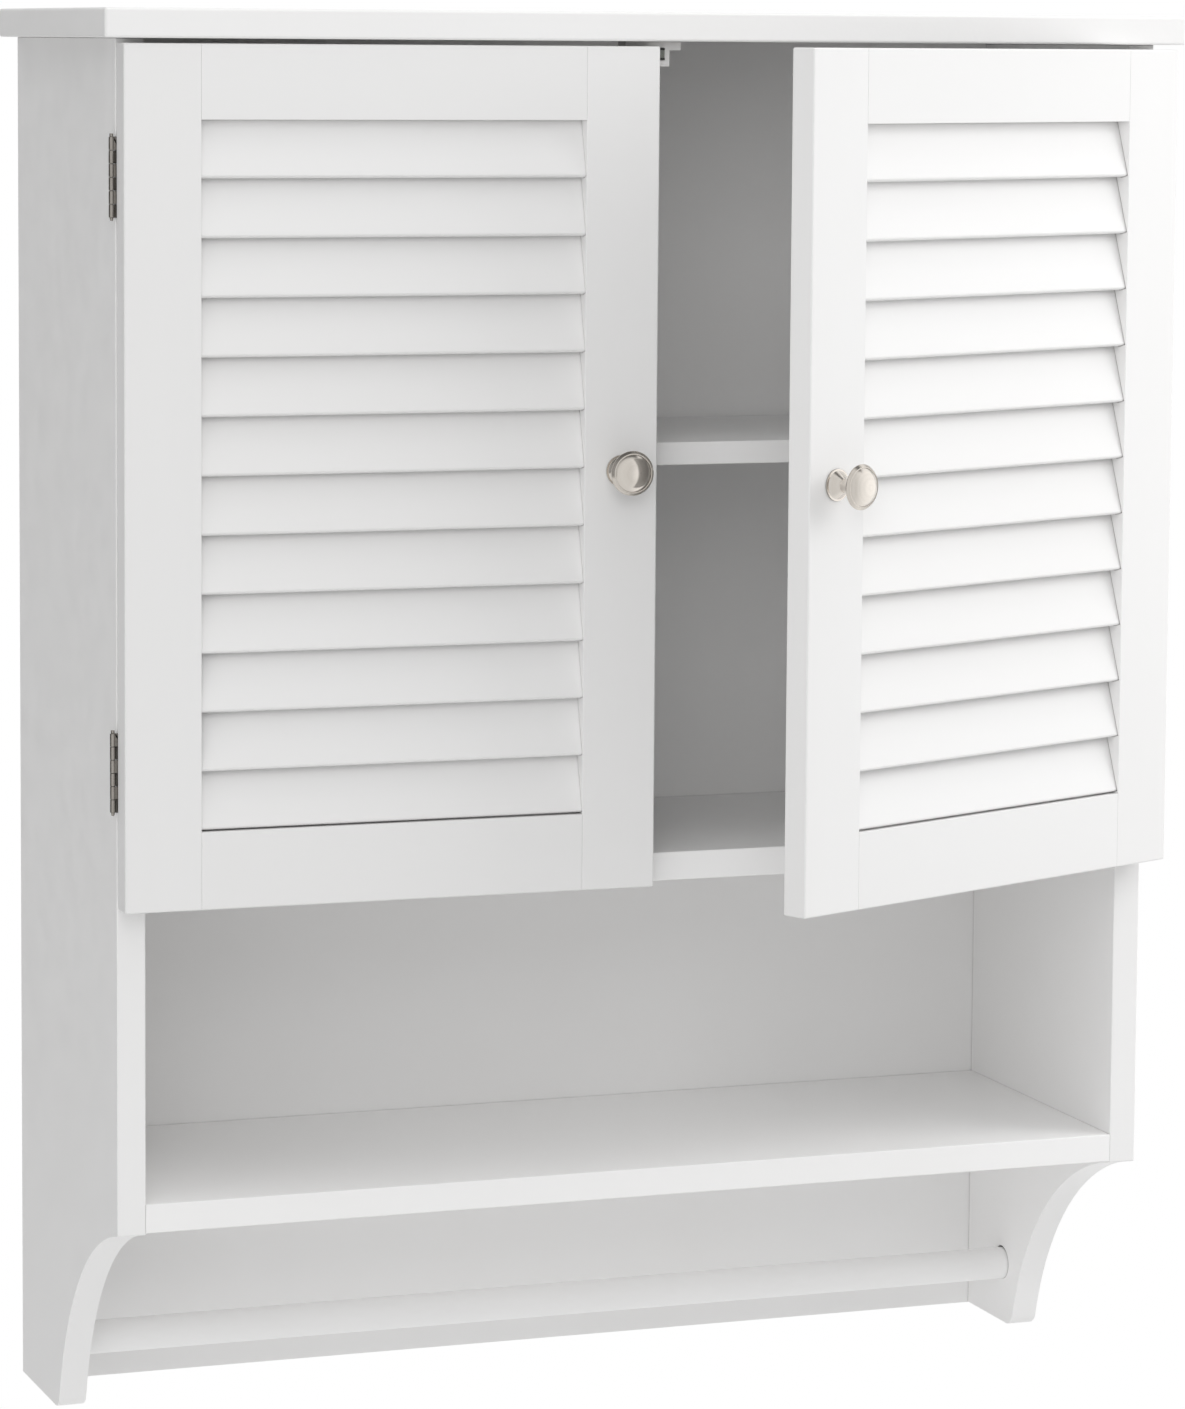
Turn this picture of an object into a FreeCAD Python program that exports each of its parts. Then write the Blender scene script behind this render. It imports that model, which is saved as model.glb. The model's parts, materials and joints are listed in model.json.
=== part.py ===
"""Wall cabinet with two louvred doors, a loose shelf, an open bay and a towel bar.

Frame: X to the right, Y into the wall, Z up, in millimetres. The origin lies on the wall plane,
half way between the two wall-screw holes of the hanging rail. The front of the cabinet faces -Y.
The left door is closed and the right door stands open by right_door_angle.
"""
import FreeCAD, Part
import os
import re

import Sketcher
from FreeCAD import Placement, Rotation, Vector

# ---------------------------------------------------------------- driving dimensions, mm and degrees
SIZES = {
    # carcass boards
    "body_width": 575,            # over the outer faces of the two sides
    "side_depth": 206,
    "side_height": 732,
    "side_board": 15,
    "top_board": 15,
    "floor_board": 15,
    "lower_shelf_board": 15,
    "lower_shelf_height": 122.5,  # foot of the sides to the underside of the lower shelf
    "top_side_overhang": 10,
    "top_front_overhang": 19,
    "top_edge_round": 1.5,
    # curved bracket at the foot of each side
    "bracket_radius": 158,
    "bracket_foot": 81,           # depth of the side at its foot
    "bracket_step": 0.8,          # from the lower shelf's underside down to the curve
    "bracket_brow_round": 1.2,
    "bracket_toe_round": 9,
    # back sheet, its grooves and the hanging rail behind it
    "back_recess": 18,            # from the wall to the back sheet
    "back_sheet": 3,
    "groove_depth": 5,
    "groove_play": 0.1,
    "rail_height": 60,
    "wall_hole_spacing": 400,
    "wall_hole_radius": 2.5,
    # towel bar
    "towel_bar_radius": 9,
    "towel_bar_height": 34,       # foot of the sides to the bar's centre
    "towel_bar_standoff": 67,     # wall to the bar's centre
    "towel_socket_depth": 8,
    "socket_play": 0.1,
    "socket_slack": 0.4,          # the bar lies at the bottom of its sockets
    # loose shelf and its pins
    "loose_shelf_board": 12,
    "loose_shelf_setback": 15,
    "loose_shelf_end_play": 1,
    "loose_shelf_back_play": 2,
    "loose_shelf_rise": 203.5,    # cabinet floor to the underside of the loose shelf
    "pin_radius": 2.45,
    "pin_hole_radius": 2.5,
    "pin_hole_depth": 9,
    "pin_length": 8,
    "pin_seat_radius": 4,
    "pin_seat_length": 8,
    "pin_seat_flat": 2,           # from the pin's axis up to the flat that carries the shelf
    "pin_inset": 37,              # from the front and back edges of the loose shelf
    "pin_row_spacing": 32,
    # cam joints and dowels
    "joint_inset": 35,            # cam joints, from the front and back edges of a board
    "dowel_inset": 62,
    "cam_radius": 7.4,
    "cam_height": 12,
    "cam_hole_depth": 12.5,
    "cam_distance": 24,           # from the end of the board to the axis of the cam
    "cam_play": 0.1,
    "cam_bolt_height": 7.5,       # from the face with the cam to the axis of its bolt
    "cam_slot_length": 8,
    "cam_slot_width": 1.6,
    "cam_slot_depth": 2,
    "bolt_radius": 2.9,
    "bolt_channel_radius": 3.9,
    "bolt_head_radius": 3.4,
    "bolt_head_length": 3,
    "thread_radius": 2.4,
    "thread_length": 10,
    "drill_play": 0.05,
    "dowel_radius": 4,
    "dowel_length": 30,
    "dowel_seat": 10,             # length of a dowel in the face of a board
    "dowel_end_play": 0.5,
    "rail_dowel_inset": 12,
    # door frames
    "door_board": 15,
    "door_gap": 2,                # between the sides' front edges and the doors
    "door_head_gap": 2.5,
    "door_middle_gap": 5,
    "stile_width": 40,
    "top_rail_height": 38,
    "bottom_rail_height": 40,
    "tenon_board": 5,
    "tenon_length": 12,
    "tenon_shoulder": 7,
    "joint_play": 0.1,
    "right_door_angle": 24.4,
    # louvre slats
    "slat_count": 12,
    "slat_pitch": 30,
    "slat_width": 35,
    "slat_board": 4.5,
    "slat_tilt": 15,
    "slat_setback": 1,            # lower front edge of a slat behind the face of the door
    "slat_gap": 0.3,              # lowest slat above the bottom rail
    "slat_seat": 6,
    "slat_edge_round": 1.2,
    "slat_play": 0.1,
    # knobs
    "knob_base_radius": 8.2,
    "knob_base_height": 1,
    "knob_base_ledge": 0.9,       # flat ring round the foot of the cone
    "knob_neck_radius": 3.5,
    "knob_neck_start": 5.4,
    "knob_neck_end": 9.2,
    "knob_flare": 7,              # radius of the flare from the neck to the back of the head
    "knob_head_radius": 11.6,
    "knob_back_height": 0.6,      # slope from the flare out to the rim
    "knob_rim_height": 0.5,
    "knob_slope_height": 1.5,     # sloping band from the rim in to the groove
    "knob_slope_width": 1.3,
    "knob_groove_width": 0.5,     # groove round the foot of the dome
    "knob_groove_depth": 0.3,
    "knob_projection": 23,
    "knob_bore_depth": 10,
    "knob_screw_radius": 2,
    "knob_screw_grip": 9,         # length of the screw inside the knob
    "knob_screw_head_radius": 3.9,
    "knob_screw_head_height": 2.2,
    "knob_screw_play": 0.3,
    "knob_thread_play": 0.05,
    # butt hinges
    "leaf_length": 40.5,
    "leaf_width": 12,
    "leaf_sheet": 0.9,
    "leaf_clearance": 0.3,
    "leaf_notch_reach": 1.5,      # notches for the other leaf's knuckles, past the outer face of the side
    "leaf_screw_inset": 9,
    "hinge_pin_offset": 2.2,      # from the outer face of the side to the axis
    "hinge_pin_radius": 0.7,
    "hinge_pin_play": 0.05,
    "hinge_pin_head_radius": 0.95,
    "hinge_pin_head_height": 1.6,
    "knuckle_radius": 1.4,
    "knuckle_count": 6,
    "knuckle_play": 0.2,
    "upper_hinge_drop": 67,       # top of the door to the middle of the upper hinge
    "lower_hinge_rise": 70,       # bottom of the door to the middle of the lower hinge
    # countersunk wood screws
    "screw_radius": 1.4,
    "screw_length": 12,
    "screw_head_radius": 2.8,
    "screw_recess_length": 3,
    "screw_recess_width": 0.7,
    "screw_recess_depth": 0.9,
    # magnetic catch and strike plates
    "catch_width": 18,
    "catch_depth": 12,
    "catch_height": 13,
    "catch_ear_length": 6.3,
    "catch_ear_height": 4.5,
    "catch_pocket_play": 0.1,
    "magnet_width": 12,
    "magnet_height": 4,
    "magnet_depth": 9,
    "magnet_drop": 6.5,           # top board's underside to the middle of the magnet
    "pole_sheet": 1,
    "pole_reach": 0.7,            # pole plates in front of the catch's housing
    "strike_width": 22,
    "strike_height": 12,
    "strike_sheet": 1,
    "strike_drop": 1,
    "strike_inset": 1,
}

# ---------------------------------------------------------------- places worked out from the sizes
HANG_HEIGHT = "(side_height - rail_height/2)"
INNER_WIDTH = "(body_width - 2*side_board)"
LEFT_FACE = "(-body_width/2)"
LEFT_INNER = "(side_board - body_width/2)"
LEFT_MIDDLE = "(side_board/2 - body_width/2)"
LEFT_BOLT = f"({LEFT_INNER} - cam_bolt_height)"
BACK_FACE = "(back_recess + back_sheet)"
BOARD_DEPTH = f"(side_depth - {BACK_FACE})"
DOOR_WIDTH = "((body_width - door_middle_gap)/2)"
DOOR_HEIGHT = "(top_rail_height + slat_count*slat_pitch + bottom_rail_height)"
DOOR_BOTTOM = f"(side_height - door_head_gap - {DOOR_HEIGHT})"
FLOOR_TOP = f"({DOOR_BOTTOM} + floor_board)"
LOOSE_SHELF_HEIGHT = f"({FLOOR_TOP} + loose_shelf_rise)"
PIN_HEIGHT = f"({LOOSE_SHELF_HEIGHT} - pin_seat_flat)"
FRONT_JOINT, REAR_JOINT = "(joint_inset - side_depth)", f"(-{BACK_FACE} - joint_inset)"
FRONT_DOWEL, REAR_DOWEL = "(dowel_inset - side_depth)", f"(-{BACK_FACE} - dowel_inset)"
HINGE_X = f"({LEFT_FACE} - hinge_pin_offset)"
HINGE_Y = "(-side_depth - door_gap/2)"
UPPER_HINGE = f"({DOOR_BOTTOM} + {DOOR_HEIGHT} - upper_hinge_drop - leaf_length/2)"
LOWER_HINGE = f"({DOOR_BOTTOM} + lower_hinge_rise - leaf_length/2)"
SLAT_FOOT = "(slat_gap + slat_board*sin(slat_tilt))"
SLAT_FRONT = "(slat_setback - door_board)"
SCREW_HEAD_HEIGHT = "(screw_head_radius - screw_radius)"

TURNS = {
    "+X": Rotation(Vector(0, 1, 0), 90), "-X": Rotation(Vector(0, 1, 0), -90),
    "+Y": Rotation(Vector(1, 0, 0), -90), "-Y": Rotation(Vector(1, 0, 0), 90),
    "+Z": Rotation(), "-Z": Rotation(Vector(1, 0, 0), 180),
    "+Z turned": Rotation(Vector(0, 0, 1), 180),
}

doc = FreeCAD.newDocument("louvred_cabinet")
sheet = doc.addObject("Spreadsheet::Sheet", "sizes")
for row, (alias, size) in enumerate(SIZES.items(), start=1):
    sheet.set(f"A{row}", alias)
    sheet.set(f"B{row}", str(size))
    sheet.setAlias(f"B{row}", alias)
doc.recompute()

ALIAS = re.compile(r"\b(" + "|".join(SIZES) + r")\b")


# ---------------------------------------------------------------- formulas and placements
def linked(formula):
    """A formula with each size's alias replaced by its cell in the sheet."""
    return ALIAS.sub(r"sizes.\1", str(formula))


def number(formula):
    """The present value of a formula."""
    return float(sheet.evalExpression(linked(formula)))


def bind(thing, **formulas):
    """Bind properties of an object to formulas; a double underscore stands for a dot."""
    for prop, formula in formulas.items():
        thing.setExpression(prop.replace("__", "."), linked(formula))


def up(height):
    """Z of a height that is measured from the foot of the sides."""
    return f"({height}) - {HANG_HEIGHT}"


def place(thing, at, turn=Rotation()):
    """Put an object at three formulas, turned by a fixed rotation."""
    thing.Placement = Placement(Vector(), turn)
    for axis, formula in zip("xyz", at):
        bind(thing, **{f"Placement__Base__{axis}": formula})
    return thing


# ---------------------------------------------------------------- primitives and booleans
def box(name, size, at):
    solid = doc.addObject("Part::Box", name)
    bind(solid, Length=size[0], Width=size[1], Height=size[2])
    return place(solid, at)


def cylinder(name, radius, length, at, direction="+Z"):
    solid = doc.addObject("Part::Cylinder", name)
    bind(solid, Radius=radius, Height=length)
    return place(solid, at, TURNS[direction])


def cone(name, start_radius, end_radius, length, at, direction="+Z"):
    solid = doc.addObject("Part::Cone", name)
    bind(solid, Radius1=start_radius, Radius2=end_radius, Height=length)
    return place(solid, at, TURNS[direction])


def fuse(name, solids):
    joined = doc.addObject("Part::MultiFuse", name)
    joined.Shapes = solids
    return joined


def cut(name, base, tools):
    """The base less its tools, which are fused first when there are several."""
    trimmed = doc.addObject("Part::Cut", name)
    trimmed.Base = base
    trimmed.Tool = tools[0] if len(tools) == 1 else fuse(name + "_tools", tools)
    return trimmed


def group(name, solids):
    pieces = doc.addObject("Part::Compound", name)
    pieces.Links = solids
    return pieces


def mirrored(name, source):
    """The source seen in the cabinet's middle plane."""
    image = doc.addObject("Part::Mirroring", name)
    image.Source = source
    image.Normal = Vector(1, 0, 0)
    return image


def copies(name, pattern, places):
    """Links to a pattern object, one at each (point, direction)."""
    links = []
    for count, (at, direction) in enumerate(places, start=1):
        link = doc.addObject("App::Link", f"{name}_{count:02d}")
        link.LinkedObject = pattern
        link.LinkTransform = True
        links.append(place(link, at, TURNS[direction]))
    return links


# ---------------------------------------------------------------- bodies made from sketches
def origin_plane(body, role):
    return next(item for item in body.Origin.OriginFeatures if item.Role == role)


def new_body(name, at, turn=Rotation()):
    return place(doc.addObject("PartDesign::Body", name), at, turn)


def new_sketch(body, name, plane, at=("0", "0", "0"), turn="0"):
    """A sketch on one of the body's planes: at is across, up and out of the plane."""
    sketch = body.newObject("Sketcher::SketchObject", f"{body.Name}_{name}_sketch")
    sketch.AttachmentSupport = [(origin_plane(body, plane), "")]
    sketch.MapMode = "FlatFace"
    sketch.AttachmentOffset = Placement(Vector(), Rotation(Vector(0, 0, 1), number(turn)))
    for axis, formula in zip("xyz", at):
        bind(sketch, **{f"AttachmentOffset__Base__{axis}": formula})
    if turn != "0":
        bind(sketch, AttachmentOffset__Rotation__Angle=turn)
    return sketch


def rectangle(body, name, plane, across, up_size, at=("0", "0", "0"), turn="0"):
    """A sketched rectangle with its first corner at the sketch's origin."""
    sketch = new_sketch(body, name, plane, at, turn)
    width, height = number(across), number(up_size)
    corners = [Vector(0, 0), Vector(width, 0), Vector(width, height), Vector(0, height)]
    for start in range(4):
        sketch.addGeometry(Part.LineSegment(corners[start], corners[(start + 1) % 4]), False)
    for start in range(4):
        sketch.addConstraint(Sketcher.Constraint("Coincident", start, 2, (start + 1) % 4, 1))
        sketch.addConstraint(Sketcher.Constraint("Vertical" if start % 2 else "Horizontal", start))
    sketch.addConstraint(Sketcher.Constraint("Coincident", 0, 1, -1, 1))
    sketch.addConstraint(Sketcher.Constraint("DistanceX", 0, 1, 0, 2, width))
    sketch.renameConstraint(sketch.ConstraintCount - 1, "across")
    sketch.addConstraint(Sketcher.Constraint("DistanceY", 1, 1, 1, 2, height))
    sketch.renameConstraint(sketch.ConstraintCount - 1, "upright")
    bind(sketch, Constraints__across=across, Constraints__upright=up_size)
    return sketch


def disc(body, name, plane, radius, at=("0", "0", "0")):
    """A sketched circle round the sketch's origin."""
    sketch = new_sketch(body, name, plane, at)
    sketch.addGeometry(Part.Circle(Vector(), Vector(0, 0, 1), number(radius)), False)
    sketch.addConstraint(Sketcher.Constraint("Coincident", 0, 3, -1, 1))
    sketch.addConstraint(Sketcher.Constraint("Radius", 0, number(radius)))
    sketch.renameConstraint(sketch.ConstraintCount - 1, "radius")
    bind(sketch, Constraints__radius=radius)
    return sketch


def pad(body, profile, length):
    feature = body.newObject("PartDesign::Pad", f"{body.Name}_pad")
    feature.Profile = profile
    bind(feature, Length=length)
    return feature


def pocket(body, name, profile, depth, along_normal=False):
    """A pocket against the sketch's normal, or along it."""
    feature = body.newObject("PartDesign::Pocket", f"{body.Name}_{name}")
    feature.Profile = profile
    feature.Reversed = along_normal
    bind(feature, Length=depth)
    return feature


def edges_along_x(shape, wanted):
    """Names of the straight edges along X whose (y, z) passes the test."""
    names = []
    for count, edge in enumerate(shape.Edges, start=1):
        start, end = edge.firstVertex().Point, edge.lastVertex().Point
        level = abs(start.y - end.y) < 1e-6 and abs(start.z - end.z) < 1e-6
        if level and wanted(start.y, start.z):
            names.append(f"Edge{count}")
    return names


def round_edges(body, name, radius, wanted):
    """Round the body's edges along X that pass the test."""
    base = body.Tip
    doc.recompute()
    feature = body.newObject("PartDesign::Fillet", f"{body.Name}_{name}")
    feature.Base = (base, edges_along_x(base.Shape, wanted))
    bind(feature, Radius=radius)
    return feature


def near(y_formula, z_formula):
    """A test for edges that pass through a point of the side's outline."""
    y_at, z_at = number(y_formula), number(z_formula)
    return lambda y, z: abs(y - y_at) < 0.01 and abs(z - z_at) < 0.01


# ---------------------------------------------------------------- joints of the boards
def joint_rows():
    """Y of each cam joint of a horizontal board."""
    return [FRONT_JOINT, REAR_JOINT]


def dowel_rows():
    return [FRONT_DOWEL, REAR_DOWEL]


def shelf_levels():
    """Name, underside and thickness of each board that is held between the sides."""
    return [("floor", DOOR_BOTTOM, "floor_board"), ("lower", "lower_shelf_height", "lower_shelf_board")]


def cam_hole(name, at, direction):
    return cylinder(name, "cam_radius + cam_play", "cam_hole_depth", at, direction)


def bolt_channel(name, at, direction):
    return cylinder(name, "bolt_channel_radius", "cam_distance", at, direction)


def thread_hole(name, at, direction):
    return cylinder(name, "thread_radius + drill_play", "thread_length + dowel_end_play", at, direction)


def dowel_hole(name, length, at, direction):
    return cylinder(name, "dowel_radius + drill_play", f"{length} + dowel_end_play", at, direction)


def board_end_holes(board, level):
    """Holes in the left end of a board that is held between the sides."""
    middle = up(f"{level} + cam_bolt_height")
    holes = []
    for count, y in enumerate(joint_rows()):
        cam_at = (f"{LEFT_INNER} + cam_distance", y, up(level))
        holes.append(cam_hole(f"{board}_cam_hole_{count}", cam_at, "+Z"))
        holes.append(bolt_channel(f"{board}_bolt_channel_{count}", (LEFT_INNER, y, middle), "+X"))
    for count, y in enumerate(dowel_rows()):
        at = (LEFT_INNER, y, middle)
        holes.append(dowel_hole(f"{board}_dowel_hole_{count}", "dowel_length - dowel_seat", at, "+X"))
    return holes


def side_face_holes(board, level):
    """Holes in the left side that take the bolts and dowels of one board."""
    middle = up(f"{level} + cam_bolt_height")
    threads = [thread_hole(f"side_thread_{board}_{count}", (LEFT_INNER, y, middle), "-X")
               for count, y in enumerate(joint_rows())]
    dowels = [dowel_hole(f"side_dowel_{board}_{count}", "dowel_seat", (LEFT_INNER, y, middle), "-X")
              for count, y in enumerate(dowel_rows())]
    return threads + dowels


def side_top_holes():
    """Cam holes, bolt channels and dowel holes in the head of the left side."""
    holes = []
    for count, y in enumerate(joint_rows()):
        cam_at = (LEFT_INNER, y, up("side_height - cam_distance"))
        holes.append(cam_hole(f"side_cam_hole_{count}", cam_at, "-X"))
        holes.append(bolt_channel(f"side_bolt_channel_{count}", (LEFT_BOLT, y, up("side_height")), "-Z"))
    for count, y in enumerate(dowel_rows()):
        at = (LEFT_BOLT, y, up("side_height"))
        holes.append(dowel_hole(f"side_head_dowel_{count}", "dowel_length - dowel_seat", at, "-Z"))
    return holes


def rail_dowel_heights():
    return [up("side_height - rail_dowel_inset"), up("side_height - rail_height + rail_dowel_inset")]


def pin_places():
    """The four pin rows' places on the left side: front and rear columns at three heights."""
    front = "(loose_shelf_setback + pin_inset - side_depth)"
    rear = f"(-{BACK_FACE} - loose_shelf_back_play - pin_inset)"
    return [(y, row) for y in (front, rear) for row in (-1, 0, 1)]


# ---------------------------------------------------------------- hardware patterns
def make_screw(name, play="0", recess=True):
    """A countersunk screw that points along +Z from its flush head, or the hole for one."""
    head = cone(name + "_head", f"screw_head_radius + {play}", f"screw_radius + {play}",
                SCREW_HEAD_HEIGHT, ("0", "0", "0"))
    shank = cylinder(name + "_shank", f"screw_radius + {play}", f"screw_length + {play}", ("0", "0", "0"))
    whole = fuse(name, [head, shank])
    if not recess:
        return whole
    bars = [box(name + "_recess_x", ("screw_recess_length", "screw_recess_width", "screw_recess_depth"),
                ("-screw_recess_length/2", "-screw_recess_width/2", "0")),
            box(name + "_recess_y", ("screw_recess_width", "screw_recess_length", "screw_recess_depth"),
                ("-screw_recess_width/2", "-screw_recess_length/2", "0"))]
    return cut(name + "_recessed", whole, bars)


def make_cam():
    """A cam lock along +Z from its slotted face, with the channel for its bolt along +X."""
    barrel = cylinder("cam_barrel", "cam_radius", "cam_height", ("0", "0", "0"))
    channel = cylinder("cam_channel", "bolt_channel_radius", "cam_radius + bolt_head_length",
                       ("-bolt_head_length", "0", "cam_bolt_height"), "+X")
    slot = box("cam_slot", ("cam_slot_length", "cam_slot_width", "cam_slot_depth"),
               ("-cam_slot_length/2", "-cam_slot_width/2", "0"))
    return cut("cam_pattern", barrel, [channel, slot])


def make_bolt():
    """A cam bolt along +Z from the joint: rod and head this way, thread the other way."""
    rod = cylinder("bolt_rod", "bolt_radius", "cam_distance", ("0", "0", "0"))
    head = cylinder("bolt_head", "bolt_head_radius", "bolt_head_length",
                    ("0", "0", "cam_distance - bolt_head_length/2"))
    thread = cylinder("bolt_thread", "thread_radius", "thread_length", ("0", "0", "0"), "-Z")
    return fuse("bolt_pattern", [rod, head, thread])


def make_dowel():
    """A dowel along +Z from the joint: its longer part this way, its seat the other way."""
    return cylinder("dowel_pattern", "dowel_radius", "dowel_length", ("0", "0", "-dowel_seat"))


def make_shelf_pin():
    """A shelf pin of the left side: peg in the side, seat with a flat top towards +X."""
    peg = cylinder("pin_peg", "pin_radius", "pin_length", ("0", "0", "0"), "-X")
    seat = cylinder("pin_seat", "pin_seat_radius", "pin_seat_length", ("0", "0", "0"), "+X")
    over = box("pin_seat_top", ("pin_seat_length", "2*pin_seat_radius", "pin_seat_radius"),
               ("0", "-pin_seat_radius", "pin_seat_flat"))
    return cut("pin_pattern", fuse("pin_whole", [peg, seat]), [over])


def hinge_heights():
    """Z of the foot of each hinge."""
    return [up(UPPER_HINGE), up(LOWER_HINGE)]


def hinge_places():
    """Feet of the left door's two hinge pins."""
    return [((HINGE_X, HINGE_Y, z), "+Z") for z in hinge_heights()]


def screw_heights():
    """Z of each screw in the leaves of one door."""
    return [f"{bottom} + {offset}" for bottom in hinge_heights()
            for offset in ("leaf_screw_inset", "leaf_length - leaf_screw_inset")]


def frame_screw_places():
    """Heads of the screws that hold the left frame leaves, and their direction."""
    return [((LEFT_MIDDLE, "-side_depth - leaf_sheet", z), "+Y") for z in screw_heights()]


def catch_screw_places():
    x = "(catch_width + catch_ear_length)/2"
    return [((x, "catch_depth/2 - side_depth", up("side_height - catch_ear_height")), "+Z")]


def door_leaf_screw_places():
    return [((LEFT_MIDDLE, "leaf_sheet - side_depth - door_gap", z), "-Y") for z in screw_heights()]


def strike_centre():
    """Middle of the left strike plate's outer face."""
    return ("-door_middle_gap/2 - strike_inset - strike_width/2", "strike_sheet - side_depth - door_gap",
            up("side_height - door_head_gap - strike_drop - strike_height/2"))


# ---------------------------------------------------------------- carcass
def left_side(screw_tool):
    body = new_body("side_outline", (LEFT_FACE, "0", up("0")))
    outline = rectangle(body, "board", "YZ_Plane", "side_depth", "side_height", ("-side_depth", "0", "0"))
    pad(body, outline, "side_board")
    rise = "(lower_shelf_height - bracket_step)"
    run = "(side_depth - bracket_foot)"
    chord = f"sqrt({run}^2 + {rise}^2)"
    reach = f"sqrt(bracket_radius^2 - ({run}^2 + {rise}^2)/4)"
    centre_y = f"-(side_depth + bracket_foot)/2 - {reach}*{rise}/{chord}"
    centre_z = f"{rise}/2 - {reach}*{run}/{chord}"
    curve = disc(body, "curve", "YZ_Plane", "bracket_radius", (centre_y, centre_z, "0"))
    pocket(body, "bracket", curve, "side_board", along_normal=True)
    round_edges(body, "brow", "bracket_brow_round", near("-side_depth", rise))
    round_edges(body, "toe", "bracket_toe_round", near("-bracket_foot", "0"))
    groove = rectangle(body, "groove", "YZ_Plane", "back_sheet + 2*groove_play", "side_height",
                       (f"-{BACK_FACE} - groove_play", "0", "side_board"))
    pocket(body, "groove", groove, "groove_depth")
    holes = side_top_holes()
    for board, level, _ in shelf_levels():
        holes += side_face_holes(board, level)
    holes += [dowel_hole(f"side_rail_dowel_{count}", "dowel_seat", (LEFT_INNER, "-back_recess/2", z), "-X")
              for count, z in enumerate(rail_dowel_heights())]
    holes += [cylinder(f"pin_hole_{count}", "pin_hole_radius", "pin_hole_depth",
                       (LEFT_INNER, y, up(f"{PIN_HEIGHT} + {row}*pin_row_spacing")), "-X")
              for count, (y, row) in enumerate(pin_places())]
    socket = (LEFT_INNER, "-towel_bar_standoff", up("towel_bar_height + socket_slack"))
    holes.append(cylinder("towel_socket", "towel_bar_radius + socket_play + socket_slack",
                          "towel_socket_depth", socket, "-X"))
    holes += copies("side_screw_hole", screw_tool, frame_screw_places())
    return cut("left_side", body, holes)


def top_board(screw_tool):
    body = new_body("top_outline", (f"{LEFT_FACE} - top_side_overhang", "-side_depth - top_front_overhang",
                                    up("side_height")))
    outline = rectangle(body, "board", "XY_Plane", "body_width + 2*top_side_overhang",
                        "side_depth + top_front_overhang")
    slab = pad(body, outline, "top_board")
    doc.recompute()
    soft = body.newObject("PartDesign::Fillet", "top_edges")
    soft.Base = (slab, [""])
    soft.UseAllEdges = True
    bind(soft, Radius="top_edge_round")
    groove = rectangle(body, "groove", "XY_Plane", f"{INNER_WIDTH} + 2*groove_depth",
                       "back_sheet + 2*groove_play",
                       ("top_side_overhang + side_board - groove_depth",
                        f"side_depth + top_front_overhang - {BACK_FACE} - groove_play", "0"))
    pocket(body, "groove", groove, "groove_depth", along_normal=True)
    under = up("side_height")
    holes = [thread_hole(f"top_thread_{count}", (LEFT_BOLT, y, under), "+Z")
             for count, y in enumerate(joint_rows())]
    holes += [dowel_hole(f"top_dowel_{count}", "dowel_seat", (LEFT_BOLT, y, under), "+Z")
              for count, y in enumerate(dowel_rows())]
    holes += copies("top_screw_hole", screw_tool, catch_screw_places())
    half = fuse("top_holes", holes)
    return cut("top_panel", body, [half, mirrored("top_holes_right", half)])


def held_board(board, level, thickness):
    """A board between the sides: the cabinet floor or the lower shelf."""
    slab = box(board + "_slab", (INNER_WIDTH, BOARD_DEPTH, thickness), (LEFT_INNER, "-side_depth", up(level)))
    half = fuse(board + "_holes", board_end_holes(board, level))
    return cut(board + "_board", slab, [half, mirrored(board + "_holes_right", half)])


def wall_holes(name, y, length):
    """Two holes for the wall screws, right through a board that starts at y."""
    places = (("left", "-wall_hole_spacing/2"), ("right", "wall_hole_spacing/2"))
    return [cylinder(f"{name}_{side}", "wall_hole_radius", length, (x, y, "0"), "+Y") for side, x in places]


def back_sheet():
    reach = "(groove_depth - groove_play)"
    sheet_box = box("back_sheet", (f"{INNER_WIDTH} + 2*{reach}", "back_sheet", f"side_height + {reach}"),
                    (f"{LEFT_INNER} - {reach}", f"-{BACK_FACE}", up("0")))
    return cut("back_board", sheet_box, wall_holes("back_hole", f"-{BACK_FACE}", "back_sheet"))


def hanging_rail():
    bar = box("rail_bar", (INNER_WIDTH, "back_recess", "rail_height"),
              (LEFT_INNER, "-back_recess", up("side_height - rail_height")))
    holes = [dowel_hole(f"rail_dowel_hole_{count}", "dowel_length - dowel_seat",
                        (LEFT_INNER, "-back_recess/2", z), "+X")
             for count, z in enumerate(rail_dowel_heights())]
    half = fuse("rail_holes", holes)
    through = wall_holes("rail_hole", "-back_recess", "back_recess")
    return cut("rail_board", bar, [half, mirrored("rail_holes_right", half)] + through)


def towel_bar():
    reach = "(towel_socket_depth - socket_play)"
    body = new_body("bar", (f"{LEFT_INNER} - {reach}", "-towel_bar_standoff", up("towel_bar_height")))
    pad(body, disc(body, "section", "YZ_Plane", "towel_bar_radius"), f"{INNER_WIDTH} + 2*{reach}")
    return body


def loose_shelf():
    return box("loose_board", (f"{INNER_WIDTH} - 2*loose_shelf_end_play",
                               f"{BOARD_DEPTH} - loose_shelf_setback - loose_shelf_back_play",
                               "loose_shelf_board"),
               (f"{LEFT_INNER} + loose_shelf_end_play", "loose_shelf_setback - side_depth",
                up(LOOSE_SHELF_HEIGHT)))


def both_ends(name, pattern, places):
    """Copies of a pattern at the left end of the cabinet and their images at the right end."""
    left = group(name + "_left", copies(name, pattern, places))
    return group(name, [left, mirrored(name + "_right", left)])


def cam_places():
    places = [((LEFT_INNER, y, up("side_height - cam_distance")), "-X") for y in joint_rows()]
    for _, level, _ in shelf_levels():
        places += [((f"{LEFT_INNER} + cam_distance", y, up(level)), "+Z turned") for y in joint_rows()]
    return places


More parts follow.
